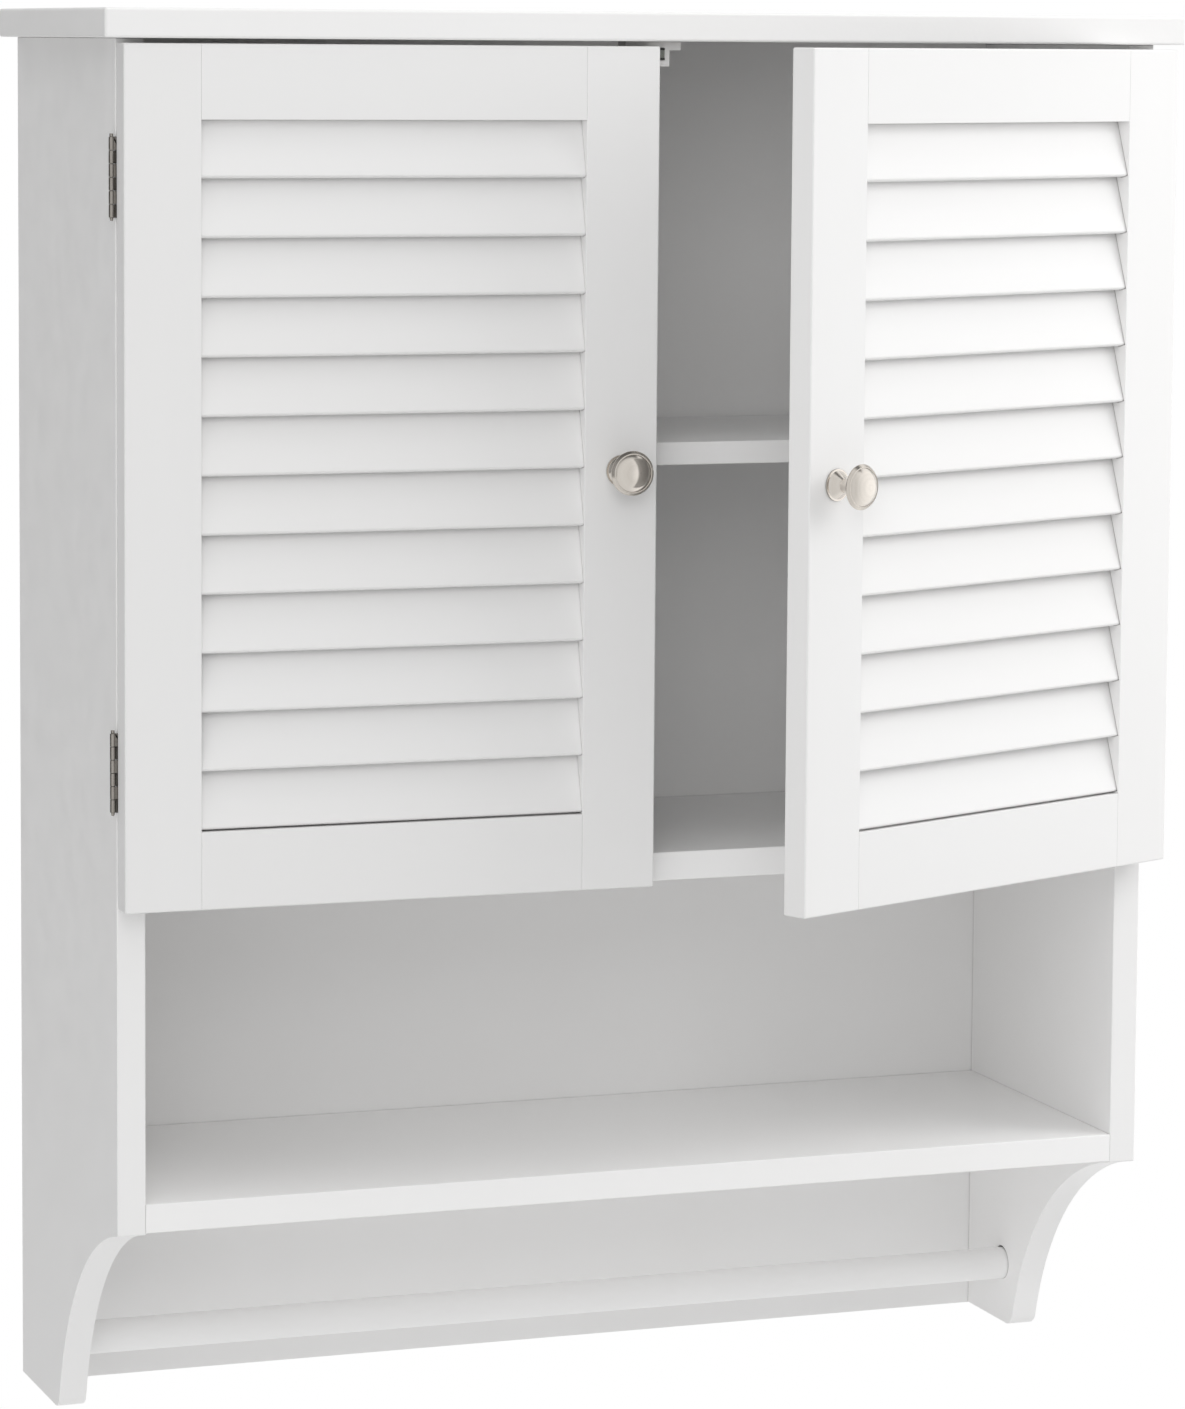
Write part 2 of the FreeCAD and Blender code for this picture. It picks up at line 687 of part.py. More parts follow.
def joint_places(rows):
    """Where bolts or dowels cross the joints of the boards: the top's joints, then the held boards'."""
    places = [((LEFT_BOLT, y, up("side_height")), "-Z") for y in rows]
    for _, level, _ in shelf_levels():
        places += [((LEFT_INNER, y, up(f"{level} + cam_bolt_height")), "+X") for y in rows]
    return places


def dowel_places():
    rail = [((LEFT_INNER, "-back_recess/2", z), "+X") for z in rail_dowel_heights()]
    return joint_places(dowel_rows()) + rail


def used_pin_places():
    return [((LEFT_INNER, y, up(PIN_HEIGHT)), "+Z") for y, row in pin_places() if row == 0]


# ---------------------------------------------------------------- magnetic catch
def catch_housing(screw_tool):
    block = box("catch_block", ("catch_width", "catch_depth", "catch_height"),
                ("-catch_width/2", "-side_depth", up("side_height - catch_height")))
    ears = box("catch_ears", ("catch_width + 2*catch_ear_length", "catch_depth", "catch_ear_height"),
               ("-catch_width/2 - catch_ear_length", "-side_depth", up("side_height - catch_ear_height")))
    stack = "(magnet_height + 2*pole_sheet + 2*catch_pocket_play)"
    recess = box("catch_recess", ("magnet_width + 2*catch_pocket_play",
                                  "magnet_depth + catch_pocket_play", stack),
                 ("-magnet_width/2 - catch_pocket_play", "-side_depth",
                  up(f"side_height - magnet_drop - {stack}/2")))
    half = group("catch_screw_holes", copies("catch_screw_hole", screw_tool, catch_screw_places()))
    return cut("catch_body", fuse("catch_shell", [block, ears]),
               [recess, half, mirrored("catch_screw_holes_left", half)])


def catch_magnet():
    """The magnet with a pole plate on each side of it."""
    middle = "side_height - magnet_drop"
    magnet = box("magnet", ("magnet_width", "magnet_depth", "magnet_height"),
                 ("-magnet_width/2", "-side_depth", up(f"{middle} - magnet_height/2")))
    plate_size = ("magnet_width", "magnet_depth + pole_reach", "pole_sheet")
    plates = [box(f"pole_{name}", plate_size, ("-magnet_width/2", "-side_depth - pole_reach", up(z)))
              for name, z in (("upper", f"{middle} + magnet_height/2"),
                              ("lower", f"{middle} - magnet_height/2 - pole_sheet"))]
    return group("magnet_pack", [magnet] + plates)


# ---------------------------------------------------------------- hinges
def knuckle_range(count):
    """Start and length of one knuckle above the bottom of its leaf."""
    pitch = "leaf_length/knuckle_count"
    return f"({count}*{pitch} + knuckle_play/2)", f"({pitch} - knuckle_play)"


def hinge_leaf(name, facing, screw_tool):
    """One leaf in the frame of its pin, notched for the knuckles of the other leaf.

    facing is + for the leaf on the side, - for the door's leaf.
    """
    plate_y = "(door_gap/2 - leaf_sheet)" if facing == "+" else "(-door_gap/2)"
    plate = box(name + "_plate", ("hinge_pin_offset + leaf_width", "leaf_sheet", "leaf_length"),
                ("0", plate_y, "0"))
    reach = "(knuckle_radius + leaf_clearance)"
    notch_size = (f"{reach} + hinge_pin_offset + leaf_notch_reach", f"2*{reach}",
                  "leaf_length/knuckle_count + knuckle_play")
    knuckles, notches = [], []
    for count in range(int(number("knuckle_count"))):
        start, length = knuckle_range(count)
        if (count % 2 == 0) == (facing == "+"):
            knuckles.append(cylinder(f"{name}_knuckle_{count}", "knuckle_radius", length, ("0", "0", start)))
        else:
            notches.append(box(f"{name}_notch_{count}", notch_size,
                               (f"-{reach}", f"-{reach}", f"{start} - knuckle_play")))
    bore = cylinder(name + "_bore", "hinge_pin_radius + hinge_pin_play", "leaf_length", ("0", "0", "0"))
    head_y = "(door_gap/2 - leaf_sheet)" if facing == "+" else "(leaf_sheet - door_gap/2)"
    heads = [(("hinge_pin_offset + side_board/2", head_y, z), facing + "Y")
             for z in ("leaf_screw_inset", "leaf_length - leaf_screw_inset")]
    holes = copies(name + "_screw_hole", screw_tool, heads)
    return cut(name, fuse(name + "_blank", [plate] + knuckles), notches + [bore] + holes)


def hinge_pin():
    """A hinge pin with a head at its top and a riveted tip below."""
    rod = cylinder("pin_rod", "hinge_pin_radius", "leaf_length + hinge_pin_head_height",
                   ("0", "0", "-hinge_pin_head_height/2"))
    head = cylinder("pin_head", "hinge_pin_head_radius", "hinge_pin_head_height", ("0", "0", "leaf_length"))
    tip = cone("pin_tip", "hinge_pin_radius", "hinge_pin_head_radius", "hinge_pin_head_height",
               ("0", "0", "-hinge_pin_head_height"))
    return fuse("hinge_pin_pattern", [rod, head, tip])


# ---------------------------------------------------------------- doors
def in_door(across, out, height):
    """A point of the closed left door, from the lower outer corner of its back face."""
    return (f"{LEFT_FACE} + {across}", f"-side_depth - door_gap + {out}", up(f"{DOOR_BOTTOM} + {height}"))


def stile(name, across, meeting):
    """An upright of the door frame, slotted for the slats and mortised for the rails."""
    body = new_body(name, in_door(across, "0", "0"))
    pad(body, rectangle(body, "board", "XZ_Plane", "stile_width", DOOR_HEIGHT), "door_board")
    inner = "0" if meeting else "stile_width"
    mortises = (("lower", "bottom_rail_height", "tenon_shoulder"),
                ("upper", "top_rail_height", f"({DOOR_HEIGHT} - top_rail_height + tenon_shoulder)"))
    for end, rail, start in mortises:
        mouth = rectangle(body, f"{end}_mortise", "YZ_Plane", "tenon_board + 2*joint_play",
                          f"{rail} - 2*tenon_shoulder + 2*joint_play",
                          ("-(door_board + tenon_board)/2 - joint_play", f"{start} - joint_play", inner))
        pocket(body, f"{end}_mortise", mouth, "tenon_length + joint_play", along_normal=meeting)
    slot_y = f"{SLAT_FRONT} - slat_play*(cos(slat_tilt) + sin(slat_tilt))"
    slot_z = f"bottom_rail_height + {SLAT_FOOT} - slat_play*(cos(slat_tilt) - sin(slat_tilt))"
    slot = rectangle(body, "slot", "YZ_Plane", "slat_board + 2*slat_play", "slat_width + 2*slat_play",
                     (slot_y, slot_z, inner), turn="-slat_tilt")
    first = pocket(body, "slot", slot, "slat_seat", along_normal=meeting)
    row = body.newObject("PartDesign::LinearPattern", f"{name}_slots")
    row.Originals = [first]
    row.Direction = (origin_plane(body, "Z_Axis"), [""])
    bind(row, Length="(slat_count - 1)*slat_pitch", Occurrences="slat_count")
    body.Tip = row
    return body


def rail(name, height, level, rebated):
    """A cross piece of the door frame with a tenon at each end; the top one clears the top slat."""
    length = f"({DOOR_WIDTH} - 2*stile_width)"
    board = box(name + "_board", (length, "door_board", height), in_door("stile_width", "-door_board", level))
    tenon_size = (f"{length} + 2*tenon_length", "tenon_board", f"{height} - 2*tenon_shoulder")
    tenon = box(name + "_tenon", tenon_size, in_door("stile_width - tenon_length",
                "-(door_board + tenon_board)/2", f"{level} + tenon_shoulder"))
    whole = fuse(name, [board, tenon])
    if not rebated:
        return whole
    head = f"(slat_width*cos(slat_tilt) + {SLAT_FOOT} - slat_pitch + slat_gap)"
    lip = f"(slat_setback + (slat_pitch - {SLAT_FOOT})*tan(slat_tilt) - slat_gap)"
    rebate = box(name + "_rebate", (length, f"door_board - {lip}", head),
                 in_door("stile_width", f"{lip} - door_board", level))
    return cut(name + "_rebated", whole, [rebate])


def slat(count):
    """One louvre slat, counted from the top of the door, leaning back with its head in the door."""
    reach = "(slat_seat - slat_play)"
    level = f"bottom_rail_height + {SLAT_FOOT} + (slat_count - {count})*slat_pitch"
    body = new_body(f"slat_{count:02d}", in_door(f"stile_width - {reach}", SLAT_FRONT, level),
                    Rotation(Vector(-1, 0, 0), number("slat_tilt")))
    bind(body, Placement__Rotation__Angle="slat_tilt")
    section = rectangle(body, "section", "YZ_Plane", "slat_board", "slat_width")
    pad(body, section, f"{DOOR_WIDTH} - 2*stile_width + 2*{reach}")
    round_edges(body, "edges", "slat_edge_round", lambda y, z: True)
    return body


def end_at(sketch, edge, spot):
    """Which end of a sketched edge lies at a spot."""
    return 1 if sketch.getPoint(edge, 1).distanceToPoint(spot) < 1e-6 else 2


def tie_corner(sketch, edge, spot, formulas, label):
    """Tie the corner where a sketched edge starts to the formulas for its place."""
    end = end_at(sketch, edge, spot)
    for axis, origin_line, formula in (("x", -2, formulas[0]), ("y", -1, formulas[1])):
        if formula == "0":
            sketch.addConstraint(Sketcher.Constraint("PointOnObject", edge, end, origin_line))
            continue
        distance = Sketcher.Constraint("Distance" + axis.upper(), -1, 1, edge, end, number(formula))
        sketch.addConstraint(distance)
        sketch.renameConstraint(sketch.ConstraintCount - 1, f"{label}_{axis}")
        bind(sketch, **{f"Constraints__{label}_{axis}": formula})


def closed_profile(sketch, corners, centres):
    """Draw a closed outline through named corners; an edge with a centre is an arc about it."""
    names = list(corners)
    spots = [Vector(number(x), number(y)) for x, y in corners.values()]
    for edge, spot in enumerate(spots):
        end = spots[(edge + 1) % len(spots)]
        if names[edge] in centres:
            centre = Vector(*[number(part) for part in centres[names[edge]]])
            bow = ((spot + end) * 0.5 - centre).normalize() * spot.distanceToPoint(centre)
            sketch.addGeometry(Part.Arc(spot, centre + bow, end), False)
        else:
            sketch.addGeometry(Part.LineSegment(spot, end), False)
    for edge, spot in enumerate(spots):
        before = (edge - 1) % len(spots)
        ends = end_at(sketch, before, spot), end_at(sketch, edge, spot)
        sketch.addConstraint(Sketcher.Constraint("Coincident", before, ends[0], edge, ends[1]))
    for edge, spot in enumerate(spots):
        tie_corner(sketch, edge, spot, corners[names[edge]], names[edge])
    return names


def knob():
    """A turned knob: coned base, waist, flared head with a sloping rim, and a dome in a groove."""
    middle = in_door(f"{DOOR_WIDTH} - stile_width/2", "-door_board", f"{DOOR_HEIGHT}/2")
    body = new_body("knob", middle, Rotation(Vector(1, 0, 0), 180))
    sketch = new_sketch(body, "profile", "XY_Plane")
    bore = "(knob_screw_radius + knob_thread_play)"
    flare_edge = "(knob_neck_radius + knob_flare)"
    head_back = "(knob_neck_end + knob_flare)"
    rim_back = f"({head_back} + knob_back_height)"
    rim_front = f"({rim_back} + knob_rim_height)"
    slope_front = f"({rim_front} + knob_slope_height)"
    groove_edge = "(knob_head_radius - knob_slope_width)"
    groove_floor = f"({slope_front} - knob_groove_depth)"
    dome_edge = f"({groove_edge} - knob_groove_width)"
    dome_rise = f"(knob_projection - {groove_floor})"
    corners = {
        "mouth": (bore, "0"),
        "base": ("knob_base_radius", "0"),
        "base_top": ("knob_base_radius", "knob_base_height"),
        "cone_foot": ("(knob_base_radius - knob_base_ledge)", "knob_base_height"),
        "neck": ("knob_neck_radius", "knob_neck_start"),
        "flare": ("knob_neck_radius", "knob_neck_end"),
        "head": (flare_edge, head_back),
        "rim_back": ("knob_head_radius", rim_back),
        "rim_front": ("knob_head_radius", rim_front),
        "slope_front": (groove_edge, slope_front),
        "groove_floor": (groove_edge, groove_floor),
        "dome": (dome_edge, groove_floor),
        "crown": ("0", "knob_projection"),
        "bore_tip": ("0", "knob_bore_depth"),
        "bore": (bore, "knob_bore_depth"),
    }
    centres = {
        "flare": (flare_edge, "knob_neck_end"),
        "dome": ("0", f"knob_projection - ({dome_edge}^2 + {dome_rise}^2)/(2*{dome_rise})"),
    }
    names = closed_profile(sketch, corners, centres)
    flare, dome = names.index("flare"), names.index("dome")
    waist = end_at(sketch, flare, Vector(number("knob_neck_radius"), number("knob_neck_end")))
    sketch.addConstraint(Sketcher.Constraint("Horizontal", flare, 3, flare, waist))
    sketch.addConstraint(Sketcher.Constraint("PointOnObject", dome, 3, -2))
    turning = body.newObject("PartDesign::Revolution", "knob_turning")
    turning.Profile = sketch
    turning.ReferenceAxis = (sketch, ["V_Axis"])
    turning.Angle = 360
    return body


def knob_screw():
    """The pan-head screw from behind the stile into the knob."""
    across, height = f"{DOOR_WIDTH} - stile_width/2", f"{DOOR_HEIGHT}/2"
    shank = cylinder("knob_shank", "knob_screw_radius", "door_board + knob_screw_grip",
                     in_door(across, "0", height), "-Y")
    head = cylinder("knob_screw_head", "knob_screw_head_radius", "knob_screw_head_height",
                    in_door(across, "0", height), "+Y")
    crown = in_door(across, "knob_screw_head_height - screw_recess_depth", height)
    bars = [box("knob_recess_x", ("screw_recess_length", "screw_recess_depth", "screw_recess_width"),
                (f"{crown[0]} - screw_recess_length/2", crown[1], f"{crown[2]} - screw_recess_width/2")),
            box("knob_recess_z", ("screw_recess_width", "screw_recess_depth", "screw_recess_length"),
                (f"{crown[0]} - screw_recess_width/2", crown[1], f"{crown[2]} - screw_recess_length/2"))]
    return cut("knob_screw_cut", fuse("knob_screw_blank", [shank, head]), bars)


def strike_plate(screw_tool):
    x, y, z = strike_centre()
    plate = box("strike_blank", ("strike_width", "strike_sheet", "strike_height"),
                (f"{x} - strike_width/2", "-side_depth - door_gap", f"{z} - strike_height/2"))
    return cut("strike", plate, copies("strike_hole", screw_tool, [(strike_centre(), "-Y")]))


def left_door(screw_tool, screw_pattern):
    """The pieces of the closed left door: name, object and number of solids."""
    hinge_stile = cut("stile_hung", stile("stile_outer", "0", meeting=False),
                      copies("stile_leaf_hole", screw_tool, door_leaf_screw_places()))
    knob_hole = cylinder("stile_knob_hole", "knob_screw_radius + knob_screw_play", "door_board",
                         in_door(f"{DOOR_WIDTH} - stile_width/2", "0", f"{DOOR_HEIGHT}/2"), "-Y")
    strike_hole = copies("stile_strike_hole", screw_tool, [(strike_centre(), "-Y")])
    meeting_stile = cut("stile_meeting", stile("stile_inner", f"{DOOR_WIDTH} - stile_width", meeting=True),
                        [knob_hole] + strike_hole)
    leaves = copies("door_leaf", hinge_leaf("door_leaf_pattern", "-", screw_tool), hinge_places())
    screws = door_leaf_screw_places() + [(strike_centre(), "-Y")]
    pieces = [
        ("hinge_stile", hinge_stile, 1),
        ("meeting_stile", meeting_stile, 1),
        ("top_rail", rail("rail_top", "top_rail_height", f"{DOOR_HEIGHT} - top_rail_height", True), 1),
        ("bottom_rail", rail("rail_bottom", "bottom_rail_height", "0", False), 1),
    ]
    pieces += [(f"slat_{count:02d}", slat(count), 1) for count in range(1, int(number("slat_count")) + 1)]
    return pieces + [
        ("knob", knob(), 1),
        ("knob_screw", knob_screw(), 1),
        ("strike_plate", strike_plate(screw_tool), 1),
        ("hinge_leaves", group("door_leaves", leaves), len(leaves)),
        ("door_screws", group("door_screw_set", copies("door_screw", screw_pattern, screws)), len(screws)),
    ]


def opened(name, source):
    """The image of a piece of the left door, swung open about the right door's hinge pins."""
    image = mirrored(name, source)
    image.Placement = Placement(Vector(), Rotation(Vector(0, 0, 1), number("right_door_angle")))
    x, y, swing = f"(-{HINGE_X})", HINGE_Y, "right_door_angle"
    bind(image, Placement__Rotation__Angle=swing,
         Placement__Base__x=f"{x} - ({x}*cos({swing}) - {y}*sin({swing}))",
         Placement__Base__y=f"{y} - ({x}*sin({swing}) + {y}*cos({swing}))")
    return image


# ---------------------------------------------------------------- the whole cabinet
def cabinet():
    """Every piece of the cabinet: its node's name, its object and its number of solids."""
    screw = make_screw("screw")
    screw_hole = make_screw("screw_hole", play="drill_play", recess=False)
    side = left_side(screw_hole)
    boards = {board: held_board(board, level, thickness) for board, level, thickness in shelf_levels()}
    frame_leaf = hinge_leaf("frame_leaf_pattern", "+", screw_hole)
    screw_places = frame_screw_places() + catch_screw_places()
    pieces = [
        ("top_panel", top_board(screw_hole), 1),
        ("left_side_panel", side, 1),
        ("right_side_panel", mirrored("right_side", side), 1),
        ("cabinet_floor", boards["floor"], 1),
        ("lower_shelf", boards["lower"], 1),
        ("back_panel", back_sheet(), 1),
        ("hanging_rail", hanging_rail(), 1),
        ("towel_bar", towel_bar(), 1),
        ("adjustable_shelf", loose_shelf(), 1),
        ("catch_housing", catch_housing(screw_hole), 1),
        ("catch_magnet", catch_magnet(), 3),
    ]
    for name, pattern, places in (("shelf_pins", make_shelf_pin(), used_pin_places()),
                                  ("cam_locks", make_cam(), cam_places()),
                                  ("cam_bolts", make_bolt(), joint_places(joint_rows())),
                                  ("dowels", make_dowel(), dowel_places()),
                                  ("hinge_frame_leaves", frame_leaf, hinge_places()),
                                  ("hinge_pins", hinge_pin(), hinge_places()),
                                  ("frame_screws", screw, screw_places)):
        pieces.append((name, both_ends(name + "_set", pattern, places), 2 * len(places)))
    door = left_door(screw_hole, screw)
    pieces += [(f"left_{name}", piece, solids) for name, piece, solids in door]
    pieces += [(f"right_{name}", opened(f"opened_{name}", piece), solids) for name, piece, solids in door]
    return pieces


def write_parts(pieces):
    """Check the document and each piece, then write one file for each node."""
    doc.recompute()
    for item in doc.Objects:
        if {"Invalid", "Error"} & set(item.State):
            raise RuntimeError(f"{item.Name} is {item.State}")
    for name, piece, solids in pieces:
        piece.Label = name
        if piece.Label != name:
            raise RuntimeError(f"the label {name} is taken")
        shape = piece.Shape
        if shape.isNull() or not shape.isValid():
            raise RuntimeError(f"{name} has no valid shape")
        if len(shape.Solids) != solids:
            raise RuntimeError(f"{name} has {len(shape.Solids)} solids, not {solids}")
    os.makedirs("parts", exist_ok=True)
    for name, piece, _ in pieces:
        piece.Shape.exportStep(f"parts/{name}.step")
    print(f"{len(pieces)} parts written")


write_parts(cabinet())
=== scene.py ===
"""Looks of the louvred wall cabinet: finishes, soft edges, studio light and the camera.

Frame: metres, X to the right, Y into the wall, Z up, the origin half way between the wall screws.
"""
import json
from math import cos, hypot, pi, radians, sin, sqrt

import bpy
from mathutils import Matrix, Vector

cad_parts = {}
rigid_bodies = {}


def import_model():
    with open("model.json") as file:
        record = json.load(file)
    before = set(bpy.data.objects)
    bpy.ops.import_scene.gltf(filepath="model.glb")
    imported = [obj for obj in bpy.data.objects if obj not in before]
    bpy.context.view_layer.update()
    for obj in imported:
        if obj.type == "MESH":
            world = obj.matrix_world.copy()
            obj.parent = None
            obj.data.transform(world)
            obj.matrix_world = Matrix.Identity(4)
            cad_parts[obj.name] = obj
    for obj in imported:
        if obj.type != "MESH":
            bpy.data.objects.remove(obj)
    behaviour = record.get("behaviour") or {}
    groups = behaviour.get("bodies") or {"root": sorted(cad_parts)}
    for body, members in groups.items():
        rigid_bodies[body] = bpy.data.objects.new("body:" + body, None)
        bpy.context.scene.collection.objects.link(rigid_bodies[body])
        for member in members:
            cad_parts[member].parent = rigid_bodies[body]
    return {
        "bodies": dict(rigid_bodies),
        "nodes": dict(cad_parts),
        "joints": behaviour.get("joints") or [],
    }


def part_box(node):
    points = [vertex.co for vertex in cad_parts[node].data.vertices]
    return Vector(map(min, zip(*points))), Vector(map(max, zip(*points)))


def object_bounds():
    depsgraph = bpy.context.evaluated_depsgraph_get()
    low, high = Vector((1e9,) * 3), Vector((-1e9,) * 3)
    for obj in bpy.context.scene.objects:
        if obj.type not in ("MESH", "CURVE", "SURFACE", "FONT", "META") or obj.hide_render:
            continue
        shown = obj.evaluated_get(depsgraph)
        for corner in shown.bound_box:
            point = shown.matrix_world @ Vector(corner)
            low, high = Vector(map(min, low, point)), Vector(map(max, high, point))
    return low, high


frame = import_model()
NODES = frame["nodes"]

# ---------------------------------------------------------------- view and light
CAMERA_PLACE = (-0.9405, -2.7001, 0.0303)
CAMERA_YAW = 20.02        # degrees to the right of straight on
CAMERA_PITCH = 5.684      # degrees below the horizon
CAMERA_ROLL = -0.405      # degrees
CAMERA_LENS = 130.69      # mm
CAMERA_FILM = 36.0        # mm, the film's long side
CAMERA_SHIFT = -0.11      # how far the lens slides up, in lengths of the film
CAMERA_REACH = 50.0       # how far it sees

BACKDROP = 1.0            # what the camera sees behind the cabinet
AMBIENT = 0.16            # light from all round
BROAD_LIGHTS = (          # wide soft lights far away: direction and strength
    ((-1.0, -1.0, 0.0), 0.98),
    ((1.0, -1.0, 0.0), 0.13),
    ((1.0, 0.0, 0.0), 0.64),
    ((0.0, 0.0, 1.0), 1.60),
    ((0.0, 1.0, 0.3), 0.80),
)
BROAD_FALL = 4.0          # how fast they fade sideways
GLOSS = 0.85              # what metal mirrors all round
GLOSS_RIGHT = 0.5         # and more of it at the right
GLOSS_SHADE = 0.85        # how much of it is lost behind on the left and overhead
SHADE_ACROSS = (0.6, 0.45)        # where that shade sets in, from right to left
SHADE_DEPTH = (-0.35, -0.15)      # from front to back
SHADE_HEIGHT = (-0.35, -0.2)      # from below upwards
LAMPS = (                 # soft lamps near the cabinet: name, place, watts
    ("right_lamp", (1.3, -0.4, 0.0), 2.6),
    ("side_lamp", (1.2, -0.9, 0.5), 6.4),
    ("front_lamp", (-0.7, -2.0, 0.6), 6.5),
)
LAMP_SIZE = 0.9

FLOOR_DROP = 1.0          # under the foot of the cabinet
FLOOR_RADIUS = 2.6
FLOOR_EDGE = 0.006
FLOOR_CORNERS = 96

# ---------------------------------------------------------------- colours and surfaces
BOARD_WHITE_PAINTED_LIGHT = 0.94        # how much light the paint throws back; the carcass's is whiter than the doors' as painted light for its dim inside
# the shelves whiter still: painted light on the inside's top faces
SHELF_WHITE_PAINTED_LIGHT = 0.97
DOOR_WHITE = 0.89
FLOOR_WHITE = 0.82
PAINT_GLOSS = 0.35        # how strongly it mirrors
PAINT_CLOUD = 0.985       # brightness of its clouds beside the rest
PAINT_EDGE_HIGHLIGHT = 1.03         # and of its edges, a painted highlight
PAINT_SKIN = 0.00006      # height of its orange peel
PAINT_CREASE_SHADE = 0.5          # how much painted shade darkens its creases and seams
NICKEL_LINES = 0.000002   # depth of the brushed lines
CREASE_SHADE_PATCHES = 0.3      # how unevenly the painted shade in creases lies
CREASE_SHADE_REACH = 0.003       # how far painted shade reaches out of a crease
CREASE_SHADE_SHARE = 0.9         # how much of the metal's colour it takes away
CREASE_SHADE_ROUGHNESS = 0.3     # and what it adds to the roughness
METAL_TARNISH = 0.75      # brightness of bare metal's tarnish beside the rest
METAL_EDGE_HIGHLIGHT = 1.2        # and of its edges, a painted highlight along with rubbing
ZINC_GRAIN = 0.00002
PLASTIC_SKIN = 0.00003
PLASTIC_CORNER_DARKENING = 0.35       # how much darker and yellower its corners get
FERRITE_GRAIN = 0.00004
BEECH_GRAIN = 0.00008

NICKEL = (0.72, 0.675, 0.62, 1.0)
NICKEL_DULL = (0.63, 0.585, 0.53, 1.0)
# near black: the painted shade in the nickel's crevices
NICKEL_PAINTED_SHADE = (0.06, 0.052, 0.045, 1.0)
FERRITE_DARK = (0.20, 0.21, 0.19, 1.0)
FERRITE_PALE = (0.30, 0.31, 0.285, 1.0)
BEECH_PALE = (0.62, 0.43, 0.27, 1.0)
BEECH_BROWN = (0.50, 0.32, 0.18, 1.0)
BEECH_FLECK = (0.30, 0.17, 0.09, 1.0)

# ---------------------------------------------------------------- the cabinet's own measures
RIGHT_DOOR_ANGLE = 24.4   # how far the right door stands open, degrees
POLE_SHEET = 0.001        # thickness of the catch's pole plates
BRACKET_RADIUS = 0.158
BRACKET_FOOT = 0.081      # depth of the side at its foot
BRACKET_STEP = 0.0008     # from the lower shelf's underside down to the curve

BOARD_ROUND = 0.0006      # painted outer edges
DOOR_ROUND = 0.001
SMALL_ROUND = 0.3         # share of it on joints, holes and grooves
PLASTIC_ROUND = 0.0004
SHEET_ROUND = 0.00018     # pressed and cut metal
KNOB_ROUND = 0.00012
CURVE_NEAR = 0.0025       # how far an edge of the bracket's curve may lie off its circle
CURVE_END_NEAR = 0.0022   # an edge this near the front or the foot belongs to a rounded end of the curve
CURVE_END_REACH = 0.006   # how much further off the circle such an edge may lie
ON_PLANE = 0.0002         # how near a board's outer plane an edge of its outline lies
SHARP = radians(30)       # the least angle of an edge that is rounded
FLAT = radians(0.1)       # faces that turn less than this are one face
SAME_POINT = 0.000005     # points this near are one point
FAR = 9.0                 # a plane that no edge lies on


def clear_start_scene():
    """Take out the cube, lamp and camera that a new file starts with."""
    kept = set(NODES.values()) | set(frame["bodies"].values())
    for thing in list(bpy.data.objects):
        if thing not in kept and thing.name in ("Cube", "Light", "Camera"):
            bpy.data.objects.remove(thing)


clear_start_scene()
cad_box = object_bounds()


# ---------------------------------------------------------------- node helpers
NUMBER = "NodeSocketFloat"
COLOUR = "NodeSocketColor"
VECTOR = "NodeSocketVector"
GEOMETRY = "NodeSocketGeometry"


def link(tree, source, target):
    """One node's output into another node's input."""
    tree.links.new(source, target)


def add(tree, kind, inputs=None, **settings):
    """A node with its settings and inputs; an input is a plain value or another node's output."""
    node = tree.nodes.new(kind)
    for name, value in settings.items():
        setattr(node, name, value)
    for name, value in (inputs or {}).items():
        if isinstance(value, bpy.types.NodeSocket):
            link(tree, value, node.inputs[name])
        else:
            node.inputs[name].default_value = value
    return node


def maths(tree, operation, *values, clamp=False):
    """One Math node's result."""
    node = add(tree, "ShaderNodeMath", dict(enumerate(values)), operation=operation, use_clamp=clamp)
    return node.outputs[0]


def vector_maths(tree, operation, *values):
    """One Vector Math node."""
    return add(tree, "ShaderNodeVectorMath", dict(enumerate(values)), operation=operation)


def new_group(name, kind, inputs, outputs):
    """An empty node group with named sockets: {name: (socket type, default)} in, {name: type} out."""
    tree = bpy.data.node_groups.new(name, kind)
    for label, (socket, default) in inputs.items():
        made = tree.interface.new_socket(name=label, in_out="INPUT", socket_type=socket)
        if default is not None:
            made.default_value = default
    for label, socket in outputs.items():
        tree.interface.new_socket(name=label, in_out="OUTPUT", socket_type=socket)
    return tree, tree.nodes.new("NodeGroupInput").outputs, tree.nodes.new("NodeGroupOutput").inputs


def noise(tree, coordinates, scale, detail=2.0, roughness=0.5):
    """A noise texture's value, about 0 to 1; a scale is in waves per metre."""
    return add(tree, "ShaderNodeTexNoise", {"Vector": coordinates, "Scale": scale, "Detail": detail,
                                            "Roughness": roughness}).outputs["Fac"]


def spread(tree, value, low, high, to_low=0.0, to_high=1.0):
    """A value stretched from one range to another and held inside it."""
    return add(tree, "ShaderNodeMapRange", {"Value": value, "From Min": low, "From Max": high,
                                            "To Min": to_low, "To Max": to_high}).outputs["Result"]


def mix_colour(tree, share, first, second):
    """From the first colour to the second by a share of 0 to 1; each is a plain colour or an output."""
    node = add(tree, "ShaderNodeMix", {"Factor": share}, data_type="RGBA")
    for socket, value in zip(node.inputs[6:8], (first, second)):
        if isinstance(value, bpy.types.NodeSocket):
            link(tree, value, socket)
        else:
            socket.default_value = value
    return node.outputs[2]


def grey(level, warmth=0.0):
    """A near-neutral colour; warmth above zero is yellower."""
    return (level * (1 + warmth), level, level * (1 - warmth), 1.0)


def dimmed(colour, share):
    """A share of a colour."""
    return [channel * share for channel in colour[:3]] + [1.0]


